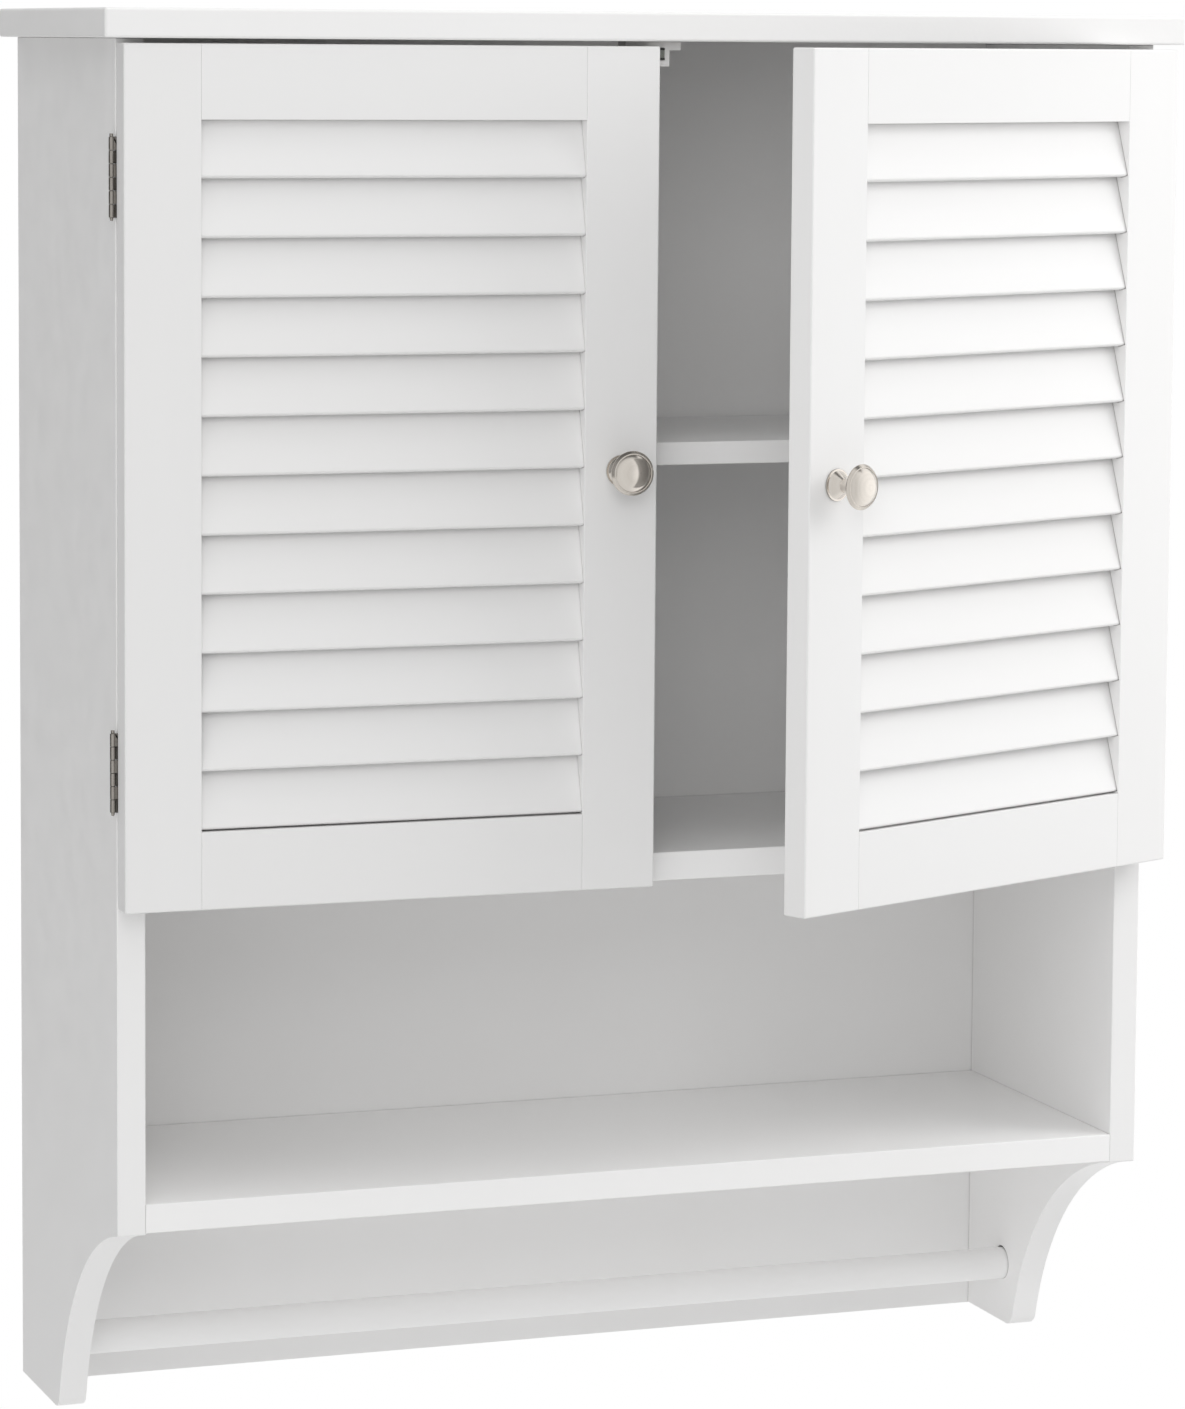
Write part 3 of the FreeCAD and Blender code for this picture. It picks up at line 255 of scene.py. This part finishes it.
# ---------------------------------------------------------------- shared finishes
def make_place_group():
    """Coordinates along a piece: the origin and turn of the piece taken out of the part frame."""
    tree, given, result = new_group("piece_coordinates", "ShaderNodeTree", {
        "Origin": (VECTOR, None), "Turn": (VECTOR, None), "Stretch": (VECTOR, (1, 1, 1))},
        {"Vector": VECTOR})
    place = add(tree, "ShaderNodeTexCoord").outputs["Object"]
    turned = add(tree, "ShaderNodeMapping", {"Vector": place, "Location": given["Origin"],
                                             "Rotation": given["Turn"]}, vector_type="TEXTURE")
    stretched = vector_maths(tree, "MULTIPLY", turned.outputs[0], given["Stretch"])
    link(tree, stretched.outputs[0], result["Vector"])
    return tree


def make_paint_group():
    """Sprayed satin paint: cloudy colour, orange peel and uneven gloss."""
    tree, given, result = new_group("sprayed_paint", "ShaderNodeTree", {
        "Vector": (VECTOR, None), "Colour": (COLOUR, grey(0.85)), "Cloud Colour": (COLOUR, grey(0.83)),
        "Cloud Scale": (NUMBER, 7.0), "Peel Scale": (NUMBER, 420.0), "Peel Height": (NUMBER, 0.5),
        "Brush Scale": (NUMBER, 60.0), "Brush Height": (NUMBER, 0.2),
        "Roughness Low": (NUMBER, 0.36), "Roughness High": (NUMBER, 0.5)},
        {"Colour": COLOUR, "Roughness": NUMBER, "Height": NUMBER})
    clouds = noise(tree, given["Vector"], given["Cloud Scale"], 4.0, 0.6)
    peel = noise(tree, given["Vector"], given["Peel Scale"], 1.0)
    brush = noise(tree, given["Vector"], given["Brush Scale"], 3.0, 0.6)
    colour = mix_colour(tree, spread(tree, clouds, 0.35, 0.7), given["Colour"], given["Cloud Colour"])
    gloss = spread(tree, brush, 0.3, 0.7, given["Roughness Low"], given["Roughness High"])
    height = maths(tree, "ADD", maths(tree, "MULTIPLY", peel, given["Peel Height"]),
                   maths(tree, "MULTIPLY", brush, given["Brush Height"]))
    link(tree, colour, result["Colour"])
    link(tree, gloss, result["Roughness"])
    link(tree, height, result["Height"])
    return tree


def make_edge_highlight_group():
    """Where a surface turns a corner: 0 on the flat, up to 1 on the edge, broken up in patches; it carries
    painted edge highlights together with edge wear.
    """
    tree, given, result = new_group("edge_highlight_and_wear", "ShaderNodeTree", {
        "Vector": (VECTOR, None), "Reach": (NUMBER, 0.0012), "Patch Scale": (NUMBER, 60.0),
        "Amount": (NUMBER, 1.0)}, {"Mask": NUMBER})
    rounded = add(tree, "ShaderNodeBevel", {"Radius": given["Reach"]}, samples=4).outputs[0]
    straight = add(tree, "ShaderNodeNewGeometry").outputs["Normal"]
    turn = vector_maths(tree, "DOT_PRODUCT", rounded, straight).outputs["Value"]
    edge = spread(tree, turn, 0.995, 0.86)
    patches = spread(tree, noise(tree, given["Vector"], given["Patch Scale"], 3.0), 0.35, 0.6, 0.35, 1.0)
    amount = maths(tree, "MULTIPLY", maths(tree, "MULTIPLY", edge, patches), given["Amount"], clamp=True)
    link(tree, amount, result["Mask"])
    return tree


def make_crease_shade_group():
    """How deep in a crease a point lies, read from ambient occlusion: 0 in the open, 1 where surfaces close
    in, in uneven patches; it marks where shade is painted in.
    """
    tree, given, result = new_group("crease_shade_mask", "ShaderNodeTree", {
        "Vector": (VECTOR, None), "Reach": (NUMBER, 0.002), "Open": (NUMBER, 0.8), "Closed": (NUMBER, 0.2),
        "Patch Scale": (NUMBER, 500.0)}, {"Mask": NUMBER})
    free = add(tree, "ShaderNodeAmbientOcclusion", {"Distance": given["Reach"]}, samples=5).outputs["AO"]
    patches = noise(tree, given["Vector"], given["Patch Scale"], 3.0)
    centred = maths(tree, "MULTIPLY_ADD", patches, CREASE_SHADE_PATCHES, -CREASE_SHADE_PATCHES / 2)
    uneven = maths(tree, "ADD", free, centred)
    link(tree, spread(tree, uneven, given["Open"], given["Closed"]), result["Mask"])
    return tree


def make_brushed_group():
    """Brushed or turned metal: fine lines across the second axis, with cloudy tarnish."""
    tree, given, result = new_group("brushed_metal", "ShaderNodeTree", {
        "Vector": (VECTOR, None), "Colour": (COLOUR, grey(0.6)), "Tarnish": (COLOUR, grey(0.5)),
        "Line Scale": (NUMBER, 3000.0), "Line Stretch": (VECTOR, (0.02, 1.0, 1.0)),
        "Tarnish Scale": (NUMBER, 120.0), "Roughness Low": (NUMBER, 0.25), "Roughness High": (NUMBER, 0.4)},
        {"Colour": COLOUR, "Roughness": NUMBER, "Height": NUMBER})
    drawn = vector_maths(tree, "MULTIPLY", given["Vector"], given["Line Stretch"]).outputs[0]
    lines = noise(tree, drawn, given["Line Scale"], 3.0, 0.65)
    clouds = spread(tree, noise(tree, given["Vector"], given["Tarnish Scale"], 3.0, 0.6), 0.4, 0.7)
    colour = mix_colour(tree, clouds, given["Colour"], given["Tarnish"])
    gloss = spread(tree, lines, 0.3, 0.7, given["Roughness Low"], given["Roughness High"])
    link(tree, colour, result["Colour"])
    link(tree, gloss, result["Roughness"])
    link(tree, lines, result["Height"])
    return tree


PLACE = make_place_group()
PAINT = make_paint_group()
EDGE_HIGHLIGHT = make_edge_highlight_group()
CREASE_SHADE = make_crease_shade_group()
BRUSHED = make_brushed_group()


def use(tree, group, inputs):
    """A shared group placed in a material with its own values."""
    return add(tree, "ShaderNodeGroup", inputs, node_tree=group).outputs


def new_material(name, **plain):
    """A material with one Principled BSDF; the plain values are set on its own sockets."""
    material = bpy.data.materials.new(name)
    material.use_nodes = True
    tree = material.node_tree
    shader = tree.nodes["Principled BSDF"]
    for socket, value in plain.items():
        shader.inputs[socket.replace("_", " ")].default_value = value
    return material, tree, shader


def finish_with(tree, shader, colour, roughness, height, depth):
    """Feed the shader; depth is the bump's height in metres."""
    bump = add(tree, "ShaderNodeBump", {"Height": height, "Distance": depth, "Strength": 1.0})
    link(tree, colour, shader.inputs["Base Color"])
    link(tree, roughness, shader.inputs["Roughness"])
    link(tree, bump.outputs[0], shader.inputs["Normal"])


def painted(name, level, warmth=0.004, turn=0.0, stretch=(1, 1, 1), peel=0.5, brush=0.25):
    """White satin paint, thinner and a little warmer along the edges, where a painted highlight also
    lightens them, with painted shade darkening its creases and seams.
    """
    material, tree, shader = new_material(name)
    shader.inputs["Specular IOR Level"].default_value = PAINT_GLOSS
    along = use(tree, PLACE, {"Turn": (0, 0, radians(turn)), "Stretch": stretch})["Vector"]
    film = use(tree, PAINT, {"Vector": along, "Colour": grey(level, warmth),
                             "Cloud Colour": grey(level * PAINT_CLOUD, warmth * 1.6),
                             "Peel Height": peel, "Brush Height": brush})
    # painted highlight: the edges a little lighter, and warmer where the paint runs thin
    edge_highlight = use(tree, EDGE_HIGHLIGHT, {"Vector": along, "Amount": 0.2})["Mask"]
    colour = mix_colour(tree, edge_highlight, film["Colour"], grey(level * PAINT_EDGE_HIGHLIGHT, warmth * 2))
    # painted shade: darker grey in the creases, seams and joints, where light hardly reaches
    shaded_creases = use(tree, CREASE_SHADE, {"Vector": along, "Reach": 0.0012, "Open": 0.7, "Closed": 0.2,
                                "Patch Scale": 40.0})["Mask"]
    colour = mix_colour(tree, maths(tree, "MULTIPLY", shaded_creases, PAINT_CREASE_SHADE), colour, grey(0.3, 0.05))
    finish_with(tree, shader, colour, film["Roughness"], film["Height"], PAINT_SKIN)
    return material


def nickel(name, origin=(0, 0, 0), turn=0.0, ringed=False, smooth=0.13, rough=0.2, shade=1.0):
    """Satin nickel plate, brushed upwards or turned in rings about the local Y axis, with painted shade
    darkening its creases.
    """
    material, tree, shader = new_material(name, Metallic=1.0)
    along = use(tree, PLACE, {"Origin": origin, "Turn": (0, 0, radians(turn))})["Vector"]
    lines = along
    if ringed:
        parts = add(tree, "ShaderNodeSeparateXYZ", {"Vector": along}).outputs
        flat = add(tree, "ShaderNodeCombineXYZ", {"X": parts["X"], "Z": parts["Z"]}).outputs[0]
        ring = vector_maths(tree, "LENGTH", flat).outputs["Value"]
        lines = add(tree, "ShaderNodeCombineXYZ", {"X": ring, "Y": parts["Y"], "Z": 0.0}).outputs[0]
    metal = use(tree, BRUSHED, {
        "Vector": lines, "Colour": dimmed(NICKEL, shade), "Tarnish": dimmed(NICKEL_DULL, shade),
        "Line Stretch": (1, 1, 1) if ringed else (1, 1, 0.02),
        "Roughness Low": smooth, "Roughness High": rough})
    # painted shade: the crevices and the gaps between the knuckles turn near black
    shaded_crevices = use(tree, CREASE_SHADE, {"Vector": along, "Reach": CREASE_SHADE_REACH})["Mask"]
    colour = mix_colour(tree, maths(tree, "MULTIPLY", shaded_crevices, CREASE_SHADE_SHARE), metal["Colour"], NICKEL_PAINTED_SHADE)
    gloss = maths(tree, "MULTIPLY_ADD", shaded_crevices, CREASE_SHADE_ROUGHNESS, metal["Roughness"])
    finish_with(tree, shader, colour, gloss, metal["Height"], NICKEL_LINES)
    return material


def plain_metal(name, level, warmth, low, high, tarnish_scale):
    """Bare or zinc-plated metal with a mottled surface."""
    material, tree, shader = new_material(name, Metallic=1.0)
    along = use(tree, PLACE, {})["Vector"]
    metal = use(tree, BRUSHED, {
        "Vector": along, "Colour": grey(level, warmth), "Tarnish": grey(level * METAL_TARNISH, warmth),
        "Line Stretch": (1, 1, 1), "Line Scale": 1500.0, "Tarnish Scale": tarnish_scale,
        "Roughness Low": low, "Roughness High": high})
    # painted highlight: the edges brighter, along with rubbing
    metal_edge_highlight = use(tree, EDGE_HIGHLIGHT, {"Vector": along, "Reach": 0.0004, "Amount": 0.5})["Mask"]
    colour = mix_colour(tree, metal_edge_highlight, metal["Colour"], grey(level * METAL_EDGE_HIGHLIGHT, warmth))
    finish_with(tree, shader, colour, metal["Roughness"], metal["Height"], ZINC_GRAIN)
    return material


def moulded_plastic():
    """White moulded plastic with a fine spark-eroded skin, a little yellower and darker in its corners."""
    material, tree, shader = new_material("moulded_plastic", IOR=1.53)
    place = use(tree, PLACE, {})["Vector"]
    skin = noise(tree, place, 2600.0, 2.0)
    flow = noise(tree, place, 90.0, 2.0)
    colour = mix_colour(tree, spread(tree, flow, 0.35, 0.7), grey(0.84, 0.01), grey(0.80, 0.02))
    # darker and yellower where the surfaces close in
    darker_corners = use(tree, CREASE_SHADE, {"Vector": place, "Reach": 0.003})["Mask"]
    colour = mix_colour(tree, maths(tree, "MULTIPLY", darker_corners, PLASTIC_CORNER_DARKENING), colour, grey(0.42, 0.08))
    finish_with(tree, shader, colour, spread(tree, skin, 0.3, 0.7, 0.38, 0.5), skin, PLASTIC_SKIN)
    return material


def magnet_pack():
    """Grey ferrite block between two blackened steel pole plates."""
    material, tree, shader = new_material("magnet_and_poles")
    low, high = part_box("catch_magnet")
    place = use(tree, PLACE, {})["Vector"]
    height = add(tree, "ShaderNodeSeparateXYZ", {"Vector": place}).outputs["Z"]
    off_middle = maths(tree, "ABSOLUTE", maths(tree, "SUBTRACT", height, (low.z + high.z) / 2))
    pole = maths(tree, "GREATER_THAN", off_middle, (high.z - low.z) / 2 - POLE_SHEET)
    grain = noise(tree, place, 3200.0, 4.0, 0.7)
    block = mix_colour(tree, spread(tree, grain, 0.35, 0.65), FERRITE_DARK, FERRITE_PALE)
    steel = mix_colour(tree, spread(tree, grain, 0.35, 0.65), grey(0.025), grey(0.05))
    colour = mix_colour(tree, pole, block, steel)
    finish_with(tree, shader, colour, spread(tree, grain, 0.3, 0.7, 0.4, 0.65), grain, FERRITE_GRAIN)
    return material


def beech():
    """Beech dowel: straight grain along the cabinet with short darker flecks."""
    material, tree, shader = new_material("beech")
    grain = noise(tree, use(tree, PLACE, {"Stretch": (0.06, 1, 1)})["Vector"], 900.0, 4.0, 0.65)
    fleck = noise(tree, use(tree, PLACE, {"Stretch": (0.3, 1, 1)})["Vector"], 2400.0, 2.0)
    colour = mix_colour(tree, spread(tree, grain, 0.35, 0.7), BEECH_PALE, BEECH_BROWN)
    colour = mix_colour(tree, spread(tree, fleck, 0.62, 0.7, 0.0, 0.6), colour, BEECH_FLECK)
    finish_with(tree, shader, colour, spread(tree, grain, 0.3, 0.7, 0.5, 0.7), grain, BEECH_GRAIN)
    return material


def put_on(names, material):
    """The same finish on every named piece."""
    for name in names:
        NODES[name].material_slots[0].material = material


# ---------------------------------------------------------------- soft edges
def shaded_smooth(tree, geometry):
    """Plain smooth shading in place of the normals that came with a mesh."""
    bare = add(tree, "GeometryNodeRemoveAttribute", {"Geometry": geometry, "Name": "custom_normal"})
    smooth = add(tree, "GeometryNodeSetShadeSmooth", {"Geometry": bare.outputs[0], "Shade Smooth": True})
    return smooth.outputs[0]


def make_edge_rounding():
    """Weigh each sharp edge for the bevel: 1 on a piece's outline, less at joints and holes."""
    tree, given, result = new_group("edge_rounding", "GeometryNodeTree", {
        "Geometry": (GEOMETRY, None), "Low": (VECTOR, None), "High": (VECTOR, None),
        "Hinge": (VECTOR, None), "Swing": (NUMBER, 0.0), "Curve Centre": (VECTOR, None),
        "Curve Radius": (NUMBER, 0.0), "Small": (NUMBER, SMALL_ROUND)}, {"Geometry": GEOMETRY})
    place = add(tree, "GeometryNodeInputPosition").outputs[0]
    closed = add(tree, "ShaderNodeVectorRotate", {
        "Vector": place, "Center": given["Hinge"], "Angle": given["Swing"]},
        rotation_type="Z_AXIS").outputs[0]
    planes = 0.0
    gaps = []
    for corner in ("Low", "High"):
        from_corner = vector_maths(tree, "SUBTRACT", closed, given[corner]).outputs[0]
        away = vector_maths(tree, "ABSOLUTE", from_corner).outputs[0]
        for part in add(tree, "ShaderNodeSeparateXYZ", {"Vector": away}).outputs:
            planes = maths(tree, "ADD", planes, maths(tree, "LESS_THAN", part, ON_PLANE))
            gaps.append(part)
    # an edge that lies on two of the six outer planes belongs to the outline
    on_outline = maths(tree, "GREATER_THAN", planes, 1.5)
    front = gaps[1]
    foot = gaps[2]
    flat = vector_maths(tree, "MULTIPLY", closed, (0.0, 1.0, 1.0)).outputs[0]
    radius = vector_maths(tree, "DISTANCE", flat, given["Curve Centre"]).outputs["Value"]
    off_curve = maths(tree, "ABSOLUTE", maths(tree, "SUBTRACT", radius, given["Curve Radius"]))
    at_end = maths(tree, "LESS_THAN", maths(tree, "MINIMUM", front, foot), CURVE_END_NEAR)
    reach = maths(tree, "MULTIPLY_ADD", at_end, CURVE_END_REACH, CURVE_NEAR)
    near_curve = maths(tree, "LESS_THAN", off_curve, reach)
    on_curve = maths(tree, "MULTIPLY", near_curve, maths(tree, "GREATER_THAN", given["Curve Radius"], 0.0))
    outline = maths(tree, "MAXIMUM", on_outline, on_curve)
    angle = add(tree, "GeometryNodeInputMeshEdgeAngle").outputs["Unsigned Angle"]
    sharp = maths(tree, "GREATER_THAN", angle, SHARP)
    weight = maths(tree, "MULTIPLY", sharp, maths(tree, "MAXIMUM", outline, given["Small"]))
    stored = add(tree, "GeometryNodeStoreNamedAttribute", {
        "Geometry": shaded_smooth(tree, given["Geometry"]), "Name": "bevel_weight_edge", "Value": weight},
        data_type="FLOAT", domain="EDGE")
    link(tree, stored.outputs[0], result["Geometry"])
    return tree


def make_even_normals():
    """Plain smooth shading alone, for the small fittings."""
    tree, given, result = new_group("even_normals", "GeometryNodeTree", {
        "Geometry": (GEOMETRY, None)}, {"Geometry": GEOMETRY})
    link(tree, shaded_smooth(tree, given["Geometry"]), result["Geometry"])
    return tree


EDGE_ROUNDING = make_edge_rounding()
EVEN_NORMALS = make_even_normals()


def merge_faces(node):
    """Join the triangles of each flat face, so that a bevel meets whole faces."""
    weld = node.modifiers.new("joined", "WELD")
    weld.merge_threshold = SAME_POINT
    flat = node.modifiers.new("flat_faces", "DECIMATE")
    flat.decimate_type = "DISSOLVE"
    flat.angle_limit = FLAT


def round_edges(node, width, segments, chosen_by):
    """A small round on each edge that its weight or its angle picks."""
    bevel = node.modifiers.new("soft_edge", "BEVEL")
    bevel.width = width
    bevel.segments = segments
    bevel.limit_method = chosen_by
    bevel.harden_normals = True
    bevel.use_clamp_overlap = False
    bevel.loop_slide = False


def soften(name, low, high, width=BOARD_ROUND, hinge=(0, 0, 0), swing=0.0, centre=(0, 0, 0), radius=0.0):
    """Round a board's outline and ease its other edges.

    Low and high are the outline's corners. A door that stands open has its hinge's place and the swing that
    closes it. A bracket has its curve's centre and radius.
    """
    node = NODES[name]
    merge_faces(node)
    weights = node.modifiers.new("edge_weights", "NODES")
    weights.node_group = EDGE_ROUNDING
    values = {"Low": low, "High": high, "Hinge": hinge, "Swing": swing, "Curve Centre": centre,
              "Curve Radius": radius}
    for item in EDGE_ROUNDING.interface.items_tree:
        if item.in_out == "INPUT" and item.name in values:
            weights[item.identifier] = values[item.name]
    round_edges(node, width, segments=3, chosen_by="WEIGHT")


def soften_carcass():
    """Round the boards' long edges; ends that butt against another board stay crisp."""
    low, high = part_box("left_side_panel")
    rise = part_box("lower_shelf")[0].z - low.z - BRACKET_STEP
    run = (high.y - low.y) - BRACKET_FOOT
    chord = hypot(run, rise)
    reach = sqrt(BRACKET_RADIUS ** 2 - chord ** 2 / 4)
    centre_y = high.y - BRACKET_FOOT - run / 2 - reach * rise / chord
    centre_z = low.z + rise / 2 - reach * run / chord
    for name in ("left_side_panel", "right_side_panel"):
        low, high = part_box(name)
        soften(name, low, high, centre=(0, centre_y, centre_z), radius=BRACKET_RADIUS)
    for name in ("cabinet_floor", "lower_shelf", "hanging_rail"):
        low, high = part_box(name)
        soften(name, (-FAR, low.y, low.z), (FAR, high.y, high.z))
    soften("adjustable_shelf", *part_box("adjustable_shelf"))


def soften_doors():
    """Round each door's outline, and ease the joints of its frame."""
    parts = ("hinge_stile", "meeting_stile", "top_rail", "bottom_rail")
    corners = [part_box(f"left_{part}") for part in parts]
    low = Vector(min(pair[0][axis] for pair in corners) for axis in range(3))
    high = Vector(max(pair[1][axis] for pair in corners) for axis in range(3))
    pin = next(joint["pos_m"] for joint in frame["joints"] if joint["name"] == "right_door_hinge")
    for part in parts:
        soften(f"left_{part}", low, high, DOOR_ROUND)
        soften(f"right_{part}", (-high.x, low.y, low.z), (-low.x, high.y, high.z), DOOR_ROUND, hinge=pin,
               swing=radians(-RIGHT_DOOR_ANGLE))


def ease(names, width):
    """Take the sharpness off every hard edge of small fittings."""
    for name in names:
        node = NODES[name]
        merge_faces(node)
        smooth = node.modifiers.new("smooth_faces", "NODES")
        smooth.node_group = EVEN_NORMALS
        round_edges(node, width, segments=2, chosen_by="ANGLE")


# ---------------------------------------------------------------- finishes on the pieces
HINGE_PARTS = ["hinge_frame_leaves", "hinge_pins", "left_hinge_leaves", "right_hinge_leaves"]
SCREWS = ["frame_screws", "left_door_screws", "right_door_screws", "left_knob_screw", "right_knob_screw"]
STRIKE_PLATES = ["left_strike_plate", "right_strike_plate"]


def dress():
    """Give every piece its finish."""
    boards = ["top_panel", "left_side_panel", "right_side_panel", "hanging_rail"]
    put_on(boards, painted("painted_board", BOARD_WHITE_PAINTED_LIGHT))
    # whiter paint on the shelves: painted light
    put_on(["cabinet_floor", "lower_shelf", "adjustable_shelf"], painted("shelf_paint_with_painted_light", SHELF_WHITE_PAINTED_LIGHT))
    put_on(["back_panel"], painted("painted_sheet", BOARD_WHITE_PAINTED_LIGHT, peel=0.3, brush=0.15))
    put_on(["towel_bar"], painted("painted_bar", BOARD_WHITE_PAINTED_LIGHT, stretch=(0.2, 1, 1)))
    for side, turn in (("left", 0.0), ("right", RIGHT_DOOR_ANGLE)):
        stiles = [f"{side}_hinge_stile", f"{side}_meeting_stile"]
        rails = [f"{side}_top_rail", f"{side}_bottom_rail"]
        slats = [name for name in NODES if name.startswith(f"{side}_slat")]
        put_on(stiles, painted(f"painted_stile_{side}", DOOR_WHITE, turn=turn, stretch=(1, 1, 0.25)))
        put_on(rails, painted(f"painted_rail_{side}", DOOR_WHITE, turn=turn, stretch=(0.25, 1, 1)))
        put_on(slats, painted(f"painted_slat_{side}", DOOR_WHITE, turn=turn, stretch=(0.12, 1, 1),
                              brush=0.4))
        low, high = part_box(f"{side}_knob")
        put_on([f"{side}_knob"], nickel(f"turned_nickel_{side}", (low + high) / 2, turn, ringed=True))
    put_on(HINGE_PARTS + SCREWS + ["shelf_pins"], nickel("drawn_nickel", smooth=0.2, rough=0.34, shade=0.55))
    put_on(["cam_locks", "cam_bolts"], plain_metal("cast_zinc", 0.6, 0.0, 0.45, 0.6, 400.0))
    put_on(STRIKE_PLATES, plain_metal("zinc_plate", 0.55, 0.0, 0.3, 0.45, 250.0))
    put_on(["catch_magnet"], magnet_pack())
    put_on(["catch_housing"], moulded_plastic())
    put_on(["dowels"], beech())


# ---------------------------------------------------------------- studio
def bring_in(name, data):
    """A new object in the scene."""
    thing = bpy.data.objects.new(name, data)
    bpy.context.scene.collection.objects.link(thing)
    return thing


def add_camera():
    """The camera in front of the cabinet on the left."""
    camera = bring_in("camera", bpy.data.cameras.new("camera"))
    camera.data.lens = CAMERA_LENS
    camera.data.sensor_width = CAMERA_FILM
    camera.data.shift_y = CAMERA_SHIFT
    camera.data.clip_end = CAMERA_REACH
    yaw = Matrix.Rotation(radians(-CAMERA_YAW), 4, "Z")
    pitch = Matrix.Rotation(radians(90 - CAMERA_PITCH), 4, "X")
    roll = Matrix.Rotation(radians(-CAMERA_ROLL), 4, "Z")
    camera.matrix_world = Matrix.Translation(CAMERA_PLACE) @ yaw @ pitch @ roll
    bpy.context.scene.camera = camera


def add_surroundings():
    """Even light from all round with wide soft lights in it; the camera itself sees a plain backdrop."""
    world = bpy.data.worlds.new("studio")
    bpy.context.scene.world = world
    world.use_nodes = True
    tree = world.node_tree
    light = tree.nodes["Background"]
    light.inputs["Color"].default_value = grey(1.0)
    toward = add(tree, "ShaderNodeTexCoord").outputs["Generated"]
    strength = AMBIENT
    for direction, power in BROAD_LIGHTS:
        facing = vector_maths(tree, "DOT_PRODUCT", toward, Vector(direction).normalized()).outputs["Value"]
        glow = maths(tree, "POWER", maths(tree, "MAXIMUM", facing, 0.0), BROAD_FALL)
        strength = maths(tree, "MULTIPLY_ADD", glow, power, strength)
    link(tree, strength, light.inputs["Strength"])
    across, depth, height = add(tree, "ShaderNodeSeparateXYZ", {"Vector": toward}).outputs
    brighter = maths(tree, "MULTIPLY_ADD", maths(tree, "MAXIMUM", across, 0.0), GLOSS_RIGHT, GLOSS)
    left = spread(tree, across, *SHADE_ACROSS)
    behind = spread(tree, depth, *SHADE_DEPTH)
    above = spread(tree, height, *SHADE_HEIGHT)
    shaded = maths(tree, "MULTIPLY", maths(tree, "MULTIPLY", left, behind), above)
    unshaded = maths(tree, "SUBTRACT", 1.0, maths(tree, "MULTIPLY", shaded, GLOSS_SHADE))
    mirrored = add(tree, "ShaderNodeBackground", {
        "Color": grey(1.0), "Strength": maths(tree, "MULTIPLY", brighter, unshaded)}).outputs[0]
    seen = add(tree, "ShaderNodeBackground", {"Color": grey(1.0), "Strength": BACKDROP}).outputs[0]
    ray = add(tree, "ShaderNodeLightPath").outputs
    lit = add(tree, "ShaderNodeMixShader", {0: ray["Is Glossy Ray"], 1: light.outputs[0], 2: mirrored})
    pick = add(tree, "ShaderNodeMixShader", {0: ray["Is Camera Ray"], 1: lit.outputs[0], 2: seen})
    link(tree, pick.outputs[0], tree.nodes["World Output"].inputs["Surface"])


def add_lamps():
    """Square soft lamps, each aimed at the middle of the cabinet."""
    aim = (cad_box[0] + cad_box[1]) / 2
    for name, place, power in LAMPS:
        lamp = bring_in(name, bpy.data.lights.new(name, "AREA"))
        lamp.data.shape = "SQUARE"
        lamp.data.size = LAMP_SIZE
        lamp.data.energy = power
        lamp.visible_camera = False
        lamp.visible_glossy = False
        lamp.location = place
        lamp.rotation_mode = "QUATERNION"
        lamp.rotation_quaternion = (Vector(place) - aim).to_track_quat("Z", "Y")


def add_floor():
    """A pale round floor under the cabinet, with a thin sloping rim."""
    low, high = cad_box
    steps = FLOOR_CORNERS
    points = [(r * cos(2 * pi * step / steps), r * sin(2 * pi * step / steps), z)
              for r, z in ((FLOOR_RADIUS, 0), (FLOOR_RADIUS + FLOOR_EDGE, -FLOOR_EDGE))
              for step in range(steps)]
    faces = [list(range(steps))]
    for step in range(steps):
        following = (step + 1) % steps
        faces.append((step, steps + step, steps + following, following))
    mesh = bpy.data.meshes.new("floor")
    mesh.from_pydata(points, [], faces)
    mesh.update()
    floor = bring_in("floor", mesh)
    floor.location = (0, (low.y + high.y) / 2, low.z - FLOOR_DROP)
    mesh.materials.append(painted("floor_paint", FLOOR_WHITE, warmth=0.0))
    floor.visible_glossy = False


def show_plain_colours():
    """Show light as it is, so that white paint stays white."""
    settings = bpy.context.scene.view_settings
    settings.view_transform = "Standard"
    settings.look = "None"
    settings.exposure = 0.0
    settings.gamma = 1.0


soften_carcass()
soften_doors()
ease(HINGE_PARTS + STRIKE_PLATES, SHEET_ROUND)
ease(["left_knob", "right_knob"], KNOB_ROUND)
ease(["catch_housing"], PLASTIC_ROUND)
dress()
add_camera()
add_surroundings()
add_lamps()
add_floor()
show_plain_colours()
